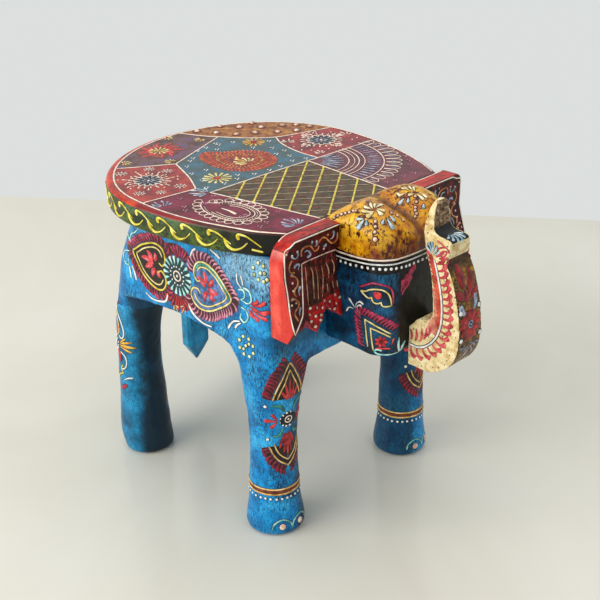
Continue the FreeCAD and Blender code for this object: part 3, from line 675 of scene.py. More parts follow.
# Seat board
def seat_ring(inset, height):
    """The seat's outline at one inset and height, from the left front end round the back."""
    steps = 1440
    dense = []
    for i in range(steps + 1):
        angle = -math.pi / 2 + 2 * math.pi * i / steps
        c = math.cos(angle)
        s = math.sin(angle)
        depth = SEAT_REAR if c < 0 else (SEAT_FRONT_RIGHT if s < 0 else SEAT_FRONT_LEFT)
        x = SEAT_HALF_WIDTH * s
        ahead = depth * c
        nx = s / SEAT_HALF_WIDTH
        na = c / depth
        size = math.hypot(nx, na)
        dense.append((x - inset * nx / size, SEAT_MIDDLE_Y - ahead + inset * na / size))
    front = FACE_Y + inset
    begin = next(i for i in range(steps + 1) if dense[i][1] < front)
    ordered = dense[begin:-1] + dense[:begin]
    kept = [p for p in ordered if p[1] >= front]
    first_left = max(range(len(kept)), key=lambda i: math.dist(kept[i], kept[i - 1]))
    kept = kept[first_left:] + kept[:first_left]
    lengths = [0.0]
    for a, b in zip(kept, kept[1:]):
        lengths.append(lengths[-1] + math.dist(a, b))
    around = []
    at = 0
    for i in range(ROUND_COUNT + 1):
        want = lengths[-1] * i / ROUND_COUNT
        while at < len(lengths) - 2 and lengths[at + 1] < want:
            at += 1
        t = (want - lengths[at]) / max(1e-9, lengths[at + 1] - lengths[at])
        around.append(midway(kept[at], kept[at + 1], t))
    around[0] = (around[0][0], front)
    around[-1] = (around[-1][0], front)
    around += [midway(around[ROUND_COUNT], around[0], i / FRONT_COUNT) for i in range(1, FRONT_COUNT)]
    return [(x, y, height) for x, y in around]


def border_inset(i):
    """How far the cream border line lies from the seat's edge, wider at the right rear."""
    return share_at([(0.0, 3.2), (0.38, 3.4), (0.52, 5.0), (0.67, 6.2), (0.78, 6.4), (0.83, 4.6),
                     (0.88, 3.4), (0.93, 2.6), (0.96, 1.4), (1.0, 1.2)], min(i, ROUND_COUNT) / ROUND_COUNT)


def border_ring(least=0.0):
    """The path of the border line, no nearer to the edge than a least distance."""
    far = 10.0
    return [midway(a, b, max(border_inset(i), least) / far)
            for i, (a, b) in enumerate(zip(seat_ring(0.0, SEAT_TOP), seat_ring(far, SEAT_TOP)))]


def inside(place, corners):
    """Whether a place lies in a polygon."""
    x, y = place
    within = False
    for (x1, y1), (x2, y2) in zip(corners, corners[1:] + corners[:1]):
        if (y1 > y) != (y2 > y) and x < (x2 - x1) * (y - y1) / (y2 - y1) + x1:
            within = not within
    return within


# Where the seat's painted patches meet, seen from above
curve_red = [(60, 89), (52.5, 76), (48, 61), (46, 45), (46.5, 27.5)]
curve_tan = [(10, 163), (20, 138), (28, 125), (42, 105), (60, 89), (84, 80.5), (116, 71)]
curve_coral = [(-39, 99.5), (-46, 82), (-53, 66), (-64, 46.5)]
line_level = [(-62, 33), (-10, 31), (36, 28.5), (46.5, 27.5), (116, 24)]
line_near = [(-62, 33), (-52, -14), (-42, -64)]
line_fan = [(36, 28.5), (33.5, -16), (31, -64)]
line_left = [(-116, 54), (-64, 46.5)]
line_rear_left = [(-84, 130), (-60, 113), (-39, 99.5)]
line_purple = [(-39, 99.5), (28, 125)]
patch_lines = [curve_red, curve_tan, curve_coral, line_level, line_near, line_fan, line_left, line_rear_left,
               line_purple]
# Each patch as the lines round it, closed outside the seat's edge
seat_patches = [
    ("seat tan", curve_tan + [(160, 71), (160, 200), (10, 200)]),
    ("seat purple", line_rear_left + curve_tan[2::-1] + [(10, 200), (-110, 200)]),
    ("seat coral", [(-160, 60)] + line_left + curve_coral[-2::-1] + line_rear_left[-2::-1]
     + [(-110, 200), (-160, 200)]),
    ("seat maroon", [(-160, 60)] + line_left + line_near + [(-42, -100), (-160, -100)]),
    ("seat teal", line_left[1:] + line_level[:4] + curve_red[-2::-1] + curve_tan[3:1:-1] + curve_coral[:-1]),
    ("seat olive", line_near + [(-42, -100), (31, -100)] + line_fan[::-1] + line_level[1:2]),
    ("seat red", curve_red + [(116, 24), (160, 24), (160, 71)] + curve_tan[:4:-1]),
    ("seat fan", line_level[2:] + [(160, 24), (160, -100), (31, -100)] + line_fan[:0:-1]),
]


def seat_board():
    """The oval board with its eased edges, cut along the lines between the painted patches."""
    rounds = [(2.5, SEAT_UNDER), (1.2, SEAT_UNDER + 0.4), (0.4, SEAT_UNDER + 1.2), (0.0, SEAT_UNDER + 2.5),
              (0.0, 240.0), (0.0, SEAT_TOP - 3.1), (0.25, SEAT_TOP - 1.9), (0.95, SEAT_TOP - 0.9),
              (2.0, SEAT_TOP - 0.2), (3.2, SEAT_TOP)]
    rings = [seat_ring(inset, height) for inset, height in rounds] + [border_ring(3.7)]
    count = len(rings[0])
    unpainted = 99
    shades = ["underside", "rim green", "seat band"] + [name for name, corners in seat_patches]
    build = bmesh.new()
    rows = [[build.verts.new(Vector(p) * MM) for p in points] for points in rings]
    for row in range(len(rows) - 1):
        # The underside first, then the rim, then the rounded border
        shade = 0 if row < 1 else (1 if row < 6 else 2)
        for i in range(count):
            j = (i + 1) % count
            face = build.faces.new((rows[row][i], rows[row + 1][i], rows[row + 1][j], rows[row][j]))
            face.material_index = shade
            if row in (7, 8, 9) and border_inset(i) < rounds[row][0]:
                face.material_index = unpainted
            face.smooth = True
    under = build.faces.new(rows[0])
    under.material_index = 0
    top = build.faces.new(list(reversed(rows[-1])))
    top.material_index = unpainted
    bmesh.ops.triangulate(build, faces=[top])
    for path in patch_lines:
        for a, b in zip(path, path[1:]):
            along = Vector((b[0] - a[0], b[1] - a[1], 0))
            reach = [f for f in build.faces if f.material_index == unpainted
                     and all(abs(v.co.z - SEAT_TOP * MM) < TOUCHING for v in f.verts)
                     and all(min(v.co[k] for v in f.verts) / MM <= max(a[k], b[k]) + 0.5
                             and max(v.co[k] for v in f.verts) / MM >= min(a[k], b[k]) - 0.5
                             for k in (0, 1))]
            near = (list({e for f in reach for e in f.edges}) + list({v for f in reach for v in f.verts})
                    + reach)
            bmesh.ops.bisect_plane(build, geom=near, plane_co=Vector((a[0], a[1], 0)) * MM,
                                   plane_no=along.cross(Vector((0, 0, 1))), dist=TOUCHING)
    bmesh.ops.recalc_face_normals(build, faces=build.faces)
    for face in build.faces:
        if face.material_index != unpainted:
            continue
        middle = face.calc_center_median() / MM
        for name, corners in seat_patches:
            if inside((middle.x, middle.y), corners):
                face.material_index = shades.index(name)
                break
    mesh = bpy.data.meshes.new("seat_board")
    build.to_mesh(mesh)
    build.free()
    for shade in shades:
        mesh.materials.append(grounds[shade])
    piece = link(bpy.data.objects.new("seat_board", mesh))
    stands_in(piece, "seat_top")
    return piece


def small_flower(sheet, middle, radius, petals, width, shade, ring_radius, ring_shade):
    """Petals about a red heart, with a ring laid over them."""
    sheet.rays(middle, radius * 0.3, radius, petals, width, shade)
    sheet.dot(middle, radius * 0.2, "red")
    sheet.stroke(ring(middle, ring_radius, count=12), 1.0, ring_shade, rise=0.35)


def ring_flower(sheet, middle, radius):
    """A loop flower: a small ring, a slate dot in its middle and a few short rays."""
    sheet.stroke(ring(middle, radius * 0.42, count=14), 0.9, "cream", rise=0.3)
    sheet.dot(middle, radius * 0.16, "slate")
    sheet.rays(middle, radius * 0.6, radius, 8, 1.7, "cream", profile=LEAF, rise=0.3)


def mandala(sheet, middle, radius):
    """A round ornament: rings of slate petals about a cream heart, with small cream loops between."""
    sheet.filled(ring(middle, radius * 0.8, count=20), middle, "deep brown", 0.16)
    sheet.dot(middle, radius * 0.09, "cream")
    sheet.rays(middle, radius * 0.14, radius * 0.38, 8, 2.0, "slate", profile=LEAF)
    sheet.rays(middle, radius * 0.42, radius * 0.72, 12, 2.7, "slate")
    for angle in range(15, 375, 30):
        loop = ring(away(middle, angle, radius * 0.66), radius * 0.13, angle - 130, angle + 130, count=10)
        sheet.stroke(loop, 0.9, "cream", rise=0.5)
    sheet.rays(middle, radius * 0.82, radius * 1.1, 20, 1.9, "cream", 4, 364)


def leaf_fan(sheet, foot, heading, spread, count, length, width, shade):
    """A few leaves that spread from one foot."""
    for i in range(count):
        share = i / (count - 1) - 0.5
        angle = heading + spread * share
        reach = length * (1 - 0.7 * abs(share))
        sheet.petal(away(foot, angle, 0.22 * reach), away(foot, angle, reach), width, shade,
                    0.1 if share > 0 else -0.1)


def leaf_fans(sheet, shade, *fans):
    for fan in fans:
        leaf_fan(sheet, *fan, shade)


def dot_trios(sheet, places, radius, shade):
    """Groups of three small dots."""
    for u, v in places:
        sheet.dots([(u, v), (u + 2.3, v + 1.4), (u + 0.4, v + 2.8)], radius, shade, 0.4)


def seat_lines(sheet):
    border = [(x, y) for x, y, z in border_ring()[:ROUND_COUNT + 1]]
    sheet.stroke(border[1:-1:4] + border[-1:], 1.6, "cream", rise=0.35, step=1.5)
    for path in patch_lines:
        sheet.stroke([p for p in smooth_path(path, 1.5) if inside(p, border)], 1.5, "cream", step=1.5)


def seat_tan_and_purple(sheet):
    for place in ((25.7, 149.5), (48.2, 144.5), (34, 134), (57.3, 131), (73, 131), (42.5, 118.5),
                  (70, 117.5), (56, 110.5), (85.7, 107.8), (70.7, 97.8), (84, 88.7), (99.5, 88.5),
                  (95, 99.5), (64, 144)):
        sheet.dot(place, 4.2, "brown", 0.22)
        sheet.dot(place, 2.3, "bead", 1.5)
    heart = (-28, 134)
    sheet.filled(ring(heart, 20.0, flat=0.9), heart, "brown")
    for i in range(22):
        angle = math.radians(i * 360 / 22 + 5)
        far = 15.5 + 4.5 * math.sin(i * 2.4)
        stretch = 1.15 if math.cos(angle) > 0 else 0.95
        way = (math.cos(angle) * stretch, math.sin(angle))
        sheet.petal((heart[0] + way[0] * 6, heart[1] + way[1] * 6),
                    (heart[0] + way[0] * far, heart[1] + way[1] * far), 3.0, "bright red", 0.14, LEAF, 0.25)
    sheet.rays(heart, 1.5, 8.5, 11, 1.7, "pale yellow", start=8, end=368)
    sheet.dot(heart, 1.5, "gold")
    for middle, facing in (((-66, 131), -30), ((-38, 106), 100), ((14, 131), 190), ((-2, 155.5), 250)):
        leaf_fan(sheet, middle, facing, 200, 7, 6.5, 1.4, "pale yellow")
        sheet.dot(middle, 1.1, "red")


def seat_coral_patch(sheet):
    heart = (-77, 86)
    mandala(sheet, heart, 14.5)
    for i in range(14):
        angle = i * 360 / 14
        sheet.petal(away(heart, angle, 15.5), away(heart, angle, 20.5 if i % 2 else 17.5), 1.8, "cream")
    for middle, radius in (((-82, 113), 5.0), ((-61, 105.5), 4.6), ((-98.5, 70), 4.8), ((-68, 59.5), 5.0),
                           ((-54, 92), 4.6), ((-86, 60), 4.0)):
        ring_flower(sheet, middle, radius)
    sheet.dots([(-94, 92), (-97, 82), (-60, 72), (-56, 77), (-72, 108), (-92, 104), (-78, 66)], 0.8, "cream")


def scallops(sheet, path, radius, pitch):
    """Small cream loops set along the right side of a path."""
    for place, heading in paced(path, pitch, pitch):
        facing = heading - 90
        loop = ring(away(place, facing, radius), radius, facing - 150, facing + 150, count=10)
        sheet.stroke(loop, 0.9, "cream", rise=0.3)


def seat_maroon_patch(sheet):
    outline = [(-77, 24), (-84, 18), (-89, 7), (-90, -8), (-87, -20), (-80, -27), (-71, -28), (-64, -22),
               (-61, -11), (-62, 1), (-66, 10), (-73, 14), (-77, 20)]
    sheet.stroke(outline, 1.1, "cream", rise=0.35)
    scallops(sheet, outline, 3.0, 5.8)
    middle = (-76, -8)
    for share in (0.80, 0.62):
        sheet.stroke(drawn_in(outline[2:-2], middle, share), 0.95, "cream", rise=0.3)
    sheet.row_of_dots(drawn_in(outline[1:-1], middle, 0.90), 2.3, 0.55, "cream", 0.3)
    sheet.petal((-77, 4), (-77.5, -12), 3.0, "cream", 0.05)
    leaf_fans(sheet, "pink", ((-76, -16), 270, 130, 5, 6, 1.2), ((-81, 18), 60, 120, 5, 6, 1.2))
    leaf_fans(sheet, "slate", ((-103, 36), 72, 120, 6, 13, 2.1), ((-62, -58), 88, 120, 7, 15, 2.3))
    leaf_fans(sheet, "sky", ((-63, 34), 128, 120, 6, 15, 2.2))
    dot_trios(sheet, [(-86, 38), (-94, 24), (-98, 18), (-66, 24), (-55, -32), (-74, -40), (-82, -42)], 0.7,
              "pink")


def seat_teal_patch(sheet):
    outline = [(-8, 104), (-15, 98), (-20, 86), (-22, 72), (-20, 58), (-13, 48), (-2, 43), (10, 43),
               (21, 49), (26.5, 59), (27, 70), (22, 80), (13, 87), (4, 93), (-3, 101)]
    middle = (2, 68)
    sheet.filled(drawn_in(outline + outline[:1], middle, 1.02), middle, "dull red")
    for share, shade, length, width in ((0.97, "orange", 4.4, 2.5), (0.77, "orange", 3.6, 2.2),
                                        (0.60, "gold", 2.2, 1.5), (0.46, "orange", 3.0, 2.0)):
        path = drawn_in(outline + outline[:1], middle, share)
        sheet.fringe(path, -1, length, 3.1, width, shade, gap=-length / 2, lean=18, bend=0.05)
    leaf_fan(sheet, (2, 60), 100, 150, 7, 14, 2.4, "pale yellow")
    sheet.petal((-1, 62), (4, 77), 2.6, "gold", 0.08)
    sheet.dot((-8, 98), 1.4, "orange")
    small_flower(sheet, (38.5, 93), 9.5, 12, 2.7, "gold", 3.0, "orange")
    small_flower(sheet, (-38, 52), 11.5, 13, 2.9, "pale yellow", 3.6, "gold")
    dot_trios(sheet,
              [(-38, 87), (-28, 95), (-46, 72), (-33, 70), (-58, 41), (-43, 38), (-50, 55), (-24, 44),
               (-14, 36), (0, 34), (5, 100), (14, 108), (14, 112), (2, 110), (26, 104), (48, 84), (28, 82),
               (38, 70), (30, 57), (34, 46), (27, 36), (38, 32), (40, 58), (-22, 98), (-8, 109), (12, 34),
               (-30, 38)], 0.75, "white")


def clipped_line(sheet, slope, rise, corners, width, shade, height, heads=False):
    """The part of one straight line that lies within a patch, with or without round heads."""
    whole = [(x / 2, slope * x / 2 + rise) for x in range(-140, 140)]
    inner = [p for p in whole if inside(p, corners)]
    if len(inner) > 6:
        sheet.stroke([inner[0], inner[-1]], width, shade, rise=height, step=2.0, curved=False)
        if heads:
            sheet.dots([inner[0], inner[-1]], width * 0.8, shade)


def seat_olive_patch(sheet):
    """A lattice of thin tan lines crossed by yellow ones, with red dashes between the tan lines."""
    corners = [(-60.5, 32), (-50.5, -14), (-41, -60), (30, -60), (32.3, -16), (34.7, 27.6), (-10, 30)]
    spacing = 15.4
    slope = -0.86
    for i in range(12):
        clipped_line(sheet, slope, -93.1 + spacing * i, corners, 0.9, "lattice tan", 0.25)
        for j in range(9):
            x = -56 + 11.5 * j + 3.0 * (i % 3)
            y = slope * x - 85.4 + spacing * i
            if inside((x - 2, y + 1.7), corners) and inside((x + 2, y - 1.7), corners):
                sheet.petal((x - 2.4, y + 2.1), (x + 2.4, y - 2.1), 1.8, "dull red", 0.0, LEAF, 0.19)
    for rise in (53, 36, 18.5, 1.5, -16.3, -34.5, -52, -69):
        clipped_line(sheet, 0.755, rise, corners, 1.7, "yellow", 0.5, True)


def seat_red_and_fan(sheet):
    heart = (80, 56)
    mandala(sheet, heart, 16.0)
    for facing in (0, 90, 180, 270):
        leaf_fan(sheet, away(heart, facing, 15), facing, 110, 5, 8, 1.9, "cream")
    leaf_fans(sheet, "cream", ((57, 72), 40, 150, 5, 9, 1.6), ((104, 50), 80, 160, 5, 9, 1.6),
              ((56, 33), 70, 120, 5, 8, 1.5), ((92, 77), 200, 120, 4, 7, 1.4))
    sheet.dots([(52, 60), (51, 50), (56, 44), (68, 36), (98, 38), (104, 38), (70, 80), (100, 64)], 0.8,
               "cream")
    middle = (37, 27)
    for radius, width in ((30.5, 1.0), (35, 0.8), (38.5, 1.1), (43, 0.9), (58, 1.2)):
        sheet.stroke(ring(middle, radius, -94, 2, count=40), width, "cream", rise=0.35)
    sheet.rays(middle, 10, 27, 7, 2.1, "slate", -82, -8, LEAF)
    sheet.rays(middle, 45, 56.5, 17, 1.6, "slate", -90, -2, LEAF)
    for i in range(13):
        facing = -89 + 7.1 * i
        foot = away(middle, facing, 59.5)
        out = 12.5 if 1 < i < 11 else 10.0
        right_foot, left_foot = (away(foot, facing + turn, 3.3) for turn in (-90, 90))
        sheet.stroke([right_foot, away(right_foot, facing, out * 0.7), away(foot, facing, out),
                      away(left_foot, facing, out * 0.7), left_foot], 0.9, "cream", rise=0.3)
        sheet.petal(away(foot, facing, out * 0.2), away(foot, facing, out * 0.75), 1.5, "slate", 0.0, LEAF,
                    0.3)
    dot_trios(sheet, [(48, -52), (70, -52), (82, -38), (90, -30), (40, -50), (95, -22), (60, -50)], 0.7,
              "pink")


def rim_scrolls(sheet):
    """Interlocking comma scrolls round the rim, an upper and a lower one at each pitch."""
    pitch = 22.2
    length = rim_lengths[-1]
    sheet.stroke([(length - 25, 236.4), (length - 16.8, 235.2)], 1.8, "rim yellow")
    for i in range(int(length / pitch) - 1):
        u = length - 34.3 - i * pitch
        sheet.stroke([(u - 0.5, 243.2), (u - 0.9, 245.4), (u + 1.2, 246.5), (u + 5.9, 245.5),
                      (u + 11.1, 242.3), (u + 16.4, 238.6)], 1.8, "rim yellow",
                     [(0, 1.3), (0.16, 1.5), (0.32, 0.9), (1, 0.5)], 0.55)
        sheet.dot((u - 0.3, 243.7), 1.5, "rim yellow", 0.7)
        sheet.stroke([(u - 10.5, 242.0), (u - 8.4, 237.2), (u - 3.8, 234.8), (u + 1.9, 236.6),
                      (u + 6.5, 241.0)], 2.1, "rim yellow",
                     [(0, 1.0), (0.15, 1.5), (0.4, 1.2), (0.65, 0.65), (1, 0.45)], 0.55)


# Body and legs
def body_and_legs():
    """The body and legs under one coat of paint, parted again where each leg joins its stub."""
    legs = ["leg_front_right", "leg_front_left", "leg_rear_right", "leg_rear_left"]
    dowels = ["seat_dowels", "head_dowels", "ear_dowels", "tail_dowels"]
    whole = carved("body_skin", ["body_block"] + legs + dowels, 1.25, 5, 0.55, ["body blue"])
    skin = skin_of(whole)
    build = bmesh.new()
    build.from_mesh(whole.data)
    bmesh.ops.bisect_plane(build, geom=build.verts[:] + build.edges[:] + build.faces[:],
                           plane_co=Vector((0, 0, LEG_JOINT * MM)), plane_no=Vector((0, 0, 1)),
                           dist=TOUCHING)
    build.normal_update()
    normals = {tuple(round(c, 7) for c in v.co): v.normal.copy() for v in build.verts}
    for index, (name, node) in enumerate([("body", "body_block")]
                                         + [(leg + "_carved", leg) for leg in legs]):
        part = build.copy()
        part.faces.ensure_lookup_table()
        wrong = []
        for face in part.faces:
            c = face.calc_center_median() / MM
            own = 0 if c.z > LEG_JOINT else 1 + (c.x >= 0) + 2 * (c.y >= BETWEEN_LEGS_Y)
            if own != index:
                wrong.append(face)
        bmesh.ops.delete(part, geom=wrong, context="FACES")
        bmesh.ops.holes_fill(part, edges=[e for e in part.edges if e.is_boundary], sides=0)
        mesh = bpy.data.meshes.new(name)
        part.to_mesh(mesh)
        part.free()
        for face in mesh.polygons:
            face.use_smooth = True
        mesh.materials.append(grounds["rear leg blue" if index > 2 else "body blue"])
        mesh.normals_split_custom_set_from_vertices(
            [normals.get(tuple(round(c, 7) for c in v.co), v.normal) for v in mesh.vertices])
        stands_in(link(bpy.data.objects.new(name, mesh)), node)
    build.free()
    bpy.data.objects.remove(whole)
    return skin


def heart_ornament(sheet, outline, middle, line, fringe, ground, side, petals, width):
    """A heart drawn with two raised lines, with a fringe outside and pink-veined red petals within."""
    sheet.ground(outline[2:-2], side * 0.5, side * 8.6, "deep maroon", 0.08)
    sheet.filled(outline[2:-2] + outline[2:3], middle, ground, 0.09)
    sheet.fringe(outline[2:-2], side, 7.6, 2.9, 2.6, fringe, gap=1.5, lean=30, bend=0.15)
    sheet.stroke(outline, 1.7, line, rise=0.6)
    sheet.stroke(drawn_in(outline[3:-3], middle, 0.80), 1.4, "pale yellow", rise=0.5)
    for start, end in petals:
        sheet.petal(start, end, width, "bright red", 0.1, LEAF)
        sheet.petal(midway(start, end, 0.25), midway(start, end, 0.8), 1.6, "pink", 0.1, LEAF, 0.7)


def body_side_paint(sheet):
    rear = [(57, 197), (53.5, 195.5), (50, 199), (49.5, 205), (53, 210.5), (60, 212), (68, 210), (77, 206),
            (84, 201), (88, 197.5), (84, 190), (78, 182), (70, 176.5), (61, 174), (54, 176), (50, 182),
            (51, 188), (55, 191), (59, 188.5)]
    heart_ornament(sheet, rear, (66, 194), "yellow", "magenta", "deep brown", 1,
                   [((64, 194), (78, 196)), ((65, 192), (74, 188.5)), ((65, 196), (71, 203)),
                    ((62, 197), (61.5, 204)), ((62, 191), (66.5, 183)), ((60, 190), (56, 185))], 5.8)
    front = [(10, 197.5), (13.5, 196.5), (16.5, 201), (15.5, 207), (11, 212), (3, 213.5), (-5, 211),
             (-12, 206), (-18, 200), (-23, 193.5), (-18, 187.5), (-9, 181.5), (1, 176), (11, 174.5),
             (18, 177.5), (21, 183.5), (18.5, 189), (13, 190), (10.5, 187)]
    heart_ornament(sheet, front, (2, 194), "pale yellow", "pink", "heart blue", -1,
                   [((2, 194), (-9, 193)), ((2, 196), (-4, 203)), ((4, 197), (6, 206)), ((3, 191), (7, 182)),
                    ((5, 194), (13, 200)), ((1, 191), (-5, 186))], 5.6)
    sheet.stroke(drawn_in(front[3:10], (2, 194), 0.90), 2.4, "teal", rise=0.3)
    # Daisy between the hearts
    daisy = (36, 193)
    sheet.filled(ring(daisy, 15.6, count=40), daisy, "deep teal", 0.46)
    sheet.ground(ring(daisy, 15.5, 55, 128, count=12), 0.0, -11, "deep maroon", 0.12)
    sheet.ground(ring(daisy, 15.5, -130, -50, count=12), 0.0, -12, "deep maroon", 0.12)
    sheet.dot(daisy, 1.3, "cream", 0.9)
    sheet.stroke(ring(daisy, 3.9), 1.5, "cream", rise=0.85)
    sheet.row_of_dots(ring(daisy, 7.4), 3.3, 0.85, "white", 0.85)
    sheet.rays(daisy, 9.2, 15.8, 18, 3.4, "aqua", rise=0.85)
    sheet.rays((32, 204), 5, 15, 7, 2.3, "magenta", 50, 140)
    sheet.rays((37, 181), 5, 17.5, 9, 2.3, "red", -150, -32)
    leaf_fans(sheet, "pale yellow", ((42, 168), 240, 70, 3, 8, 1.6), ((30, 170), 300, 70, 3, 8, 1.6))
    # White and turquoise curls
    curls = [
        ([(76, 166), (69, 163.3), (60, 164), (52, 167), (49, 174)], "white", 2.0),
        ([(0, 163.5), (9, 163.2), (17, 165.5), (22, 169), (25, 174)], "white", 2.2),
        ([(79, 219), (84, 214), (88, 212), (91, 207)], "aqua", 1.9),
        ([(92, 217), (93, 210), (90, 205)], "aqua", 1.9),
        ([(93, 196), (98, 195), (101, 190), (99, 184), (95, 184), (95, 189)], "aqua", 1.8),
        ([(95, 183), (94, 178), (93.5, 173)], "white", 2.1),
        ([(91, 184), (88.5, 179), (87, 173)], "white", 2.1),
        ([(20, 213), (17, 219), (13, 222)], "white", 2.0),
        ([(-3, 226), (-9, 224), (-13, 222)], "white", 2.0),
        ([(-33, 197), (-37, 200), (-36, 205), (-31, 204)], "aqua", 1.8),
        ([(-33, 197), (-40, 196), (-44, 200), (-42, 206), (-36, 207)], "aqua", 1.9),
        ([(-34, 206), (-30, 210), (-30, 216)], "white", 1.7),
        ([(-36, 209), (-35, 213), (-34, 216)], "white", 1.7),
        ([(-33, 191), (-38, 190), (-40, 185), (-36, 180), (-32, 182), (-33, 186)], "aqua", 1.9),
        ([(-31, 179), (-25, 177), (-21, 173), (-18.5, 169)], "white", 2.0),
        ([(-32, 178), (-28, 175), (-26, 172)], "white", 2.0),
    ]
    for path, shade, width in curls:
        sheet.stroke(path, width, shade, [(0, 0.6), (0.5, 0.9), (0.85, 1.1), (1, 0.7)], 0.5)
    sheet.petals([((-42, 194), (-63, 197)), ((-44, 196), (-58, 203)), ((-43, 197), (-51, 202)),
                  ((-44, 193), (-60, 190)), ((-43, 192), (-51, 186)), ((-46, 195), (-59, 194)),
                  ((-41, 192), (-45, 187))], 3.4, "bright red", 0.1)
    sheet.dots([(-48, 221), (-52, 218.5), (-57, 218.5), (-60.5, 221), (-47, 226), (-52, 231), (-57, 230),
                (-54, 224), (-58, 225)], 1.45, "pale lime", 0.6)
    sheet.row_of_dots(ring((-37, 161), 7.6), 5.9, 1.4, "pale lime", 0.6)
    sheet.dots([(-36.5, 161.5), (-40, 164), (-34, 158)], 1.25, "pale lime", 0.6)


def flipped(points, flip):
    """The same points, or their mirror images across the motif's middle line."""
    return [(u * flip, v) for u, v in points]


def leg_paint(sheet):
    """One leg's motif and bands, in millimetres round the leg from the motif's middle line."""
    heart = (0, 102.5)
    # Upper and lower triangles: their two lines, how far the maroon ground reaches, how far the brown one
    # rises along the middle, and the fringe's length, gap and lean
    triangles = (([(0, 151), (3.5, 145), (7, 136), (11.5, 121.5)],
                  [(0, 145), (2.5, 139), (5.5, 131), (8.5, 122)], 8.0, 0.0, 7.2, 1.3, -20),
                 ([(15, 80), (12, 73), (7.5, 67), (0, 61.5)], [(11, 82), (9, 76), (5.5, 71), (0, 66.5)], 8.4,
                  6.0, 7.4, 1.4, 20))
    for flip in (1, -1):
        for outer, inner, reach, rise, length, gap, lean in triangles:
            edge = flipped(outer, flip)
            fine = smooth_path(edge, 1.5)
            sheet.ground(edge, flip * 0.4, flip * reach, "deep maroon", 0.08)
            sheet.laid(fine, [(0.0, v + rise * (1 - u * flip / 15)) for u, v in fine], "deep brown", 0.09)
            sheet.stroke(edge, 1.4, "tan line", rise=0.5)
            sheet.stroke(flipped(inner, flip), 1.2, "tan line", rise=0.5)
            sheet.fringe(edge, flip, length, 3.0, 3.1, "deep red", gap=gap, lean=lean)
        # Leaves and side blossoms of the flower between them
        sheet.petal((3.5 * flip, 110), (12.5 * flip, 116.5), 3.3, "teal", 0.25 * flip, LEAF)
        sheet.petal((4 * flip, 95), (12 * flip, 88.5), 3.3, "teal", -0.25 * flip, LEAF)
        for start, end, width in (((8.5, 103), (12.5, 109), 3.0), ((9, 102.5), (18, 102.5), 4.2),
                                  ((8.5, 101.5), (13.5, 96), 3.2)):
            sheet.petal(*flipped([start, end], flip), width, "bright red")
        sheet.dots(flipped([(16.5, 116), (16, 86)], flip), 1.3, "white", 0.7)
    sheet.petals([((u * 0.3, 120.5), (u, v)) for u, v in
                  ((0, 139), (-3.5, 135), (3.5, 135), (-6, 129), (6, 129))], 2.8, "red", 0.0, LEAF)
    sheet.petals([((u * 0.35, 90), (u, v)) for u, v in ((0, 70), (-3.5, 73), (3.5, 73), (-7, 78), (7, 78))],
                 2.8, "red", 0.0, LEAF)
    sheet.dot(heart, 7.0, "dark", 0.16)
    sheet.stroke(ring(heart, 2.8, count=14), 1.1, "cream", rise=0.6)
    sheet.dot(heart, 0.9, "cream", 0.7)
    sheet.row_of_dots(ring(heart, 6.1), 3.15, 0.95, "white", 0.6)
    # Bands and dots right round the leg
    turn = 2 * math.pi * LEG_RADIUS
    for height, width, shade, rise in ((39.5, 4.2, "brown", 0.18), (41.6, 1.5, "tan line", 0.55),
                                       (37.4, 1.5, "tan line", 0.55)):
        sheet.stroke([(turn * i / 40, height) for i in range(41)], width, shade, [(0, 1), (1, 1)], rise)
    sheet.row_of_dots([(turn * i / 40, 33.4) for i in range(41)], 4.15, 1.05, "white", 0.65)
    # Toenails
    for middle in (7.0, -7.0):
        sheet.stroke([(middle + 7.2, 6), (middle + 5.5, 11.5), (middle, 14.8), (middle - 5.5, 11.5),
                      (middle - 6.8, 7)], 1.5, "turquoise", rise=0.5)
        sheet.dot((middle, 8.7), 2.7, "bead", 0.9)


def rear_leg_paint(sheet):
    """The rear legs' brighter motif: a flower with gold petals between two white loops."""
    heart = (0, 102.5)
    lines = (([(0, 146), (3, 138), (5.5, 132), (10, 126), (13, 119.5), (13.5, 113), (10.5, 109), (7.5, 111)],
              1.5, "white"),
             ([(0, 136), (4, 129), (7.5, 121), (7.5, 114), (4, 110)], 1.2, "pale yellow"),
             ([(8, 96), (12, 93), (13.8, 88), (12, 82), (7.5, 79)], 1.5, "white"),
             ([(9.5, 84), (7, 80), (9, 76), (5, 74), (2, 70)], 1.3, "yellow"))
    blossoms = (((3.5, 111), (4.5, 127), 6.0, "orange red", -0.12, LEAF),
                ((3.0, 97), (5.5, 85), 6.5, "red", 0.1, LEAF),
                ((9, 69), (18.5, 73.5), 2.2, "white", 0.1, COMMA),
                ((5, 60), (13, 66), 4.6, "magenta", 0.0, LEAF),
                ((4, 138), (9, 143), 3.0, "magenta", 0.0, LEAF),
                ((8, 104), (21, 107.5), 2.6, "gold", 0.0, LEAF),
                ((8, 102.5), (24, 102.5), 3.4, "gold", 0.0, LEAF),
                ((8, 101), (20.5, 97.5), 2.6, "gold", 0.0, LEAF),
                ((8, 104.75), (15, 110), 2.0, "gold", 0.0, LEAF))
    for flip in (1, -1):
        for path, width, shade in lines:
            sheet.stroke(flipped(path, flip), width, shade, rise=0.5)
        for start, end, width, shade, bend, profile in blossoms:
            sheet.petal(*flipped([start, end], flip), width, shade, bend * flip, profile)
    sheet.dot(heart, 4.2, "dark", 0.16)
    sheet.dot(heart, 1.6, "white", 0.7)
    sheet.row_of_dots(ring(heart, 6.1), 3.15, 1.0, "white", 0.6)


# Head: its black band lies between these heights, under the gold domes
BAND_TOP = 230.2
BAND_FOOT = 220.5


def head_shade(middle, normal):
    if middle.z > BAND_TOP:
        return "dome gold"
    return "black" if middle.z > BAND_FOOT else "face blue"


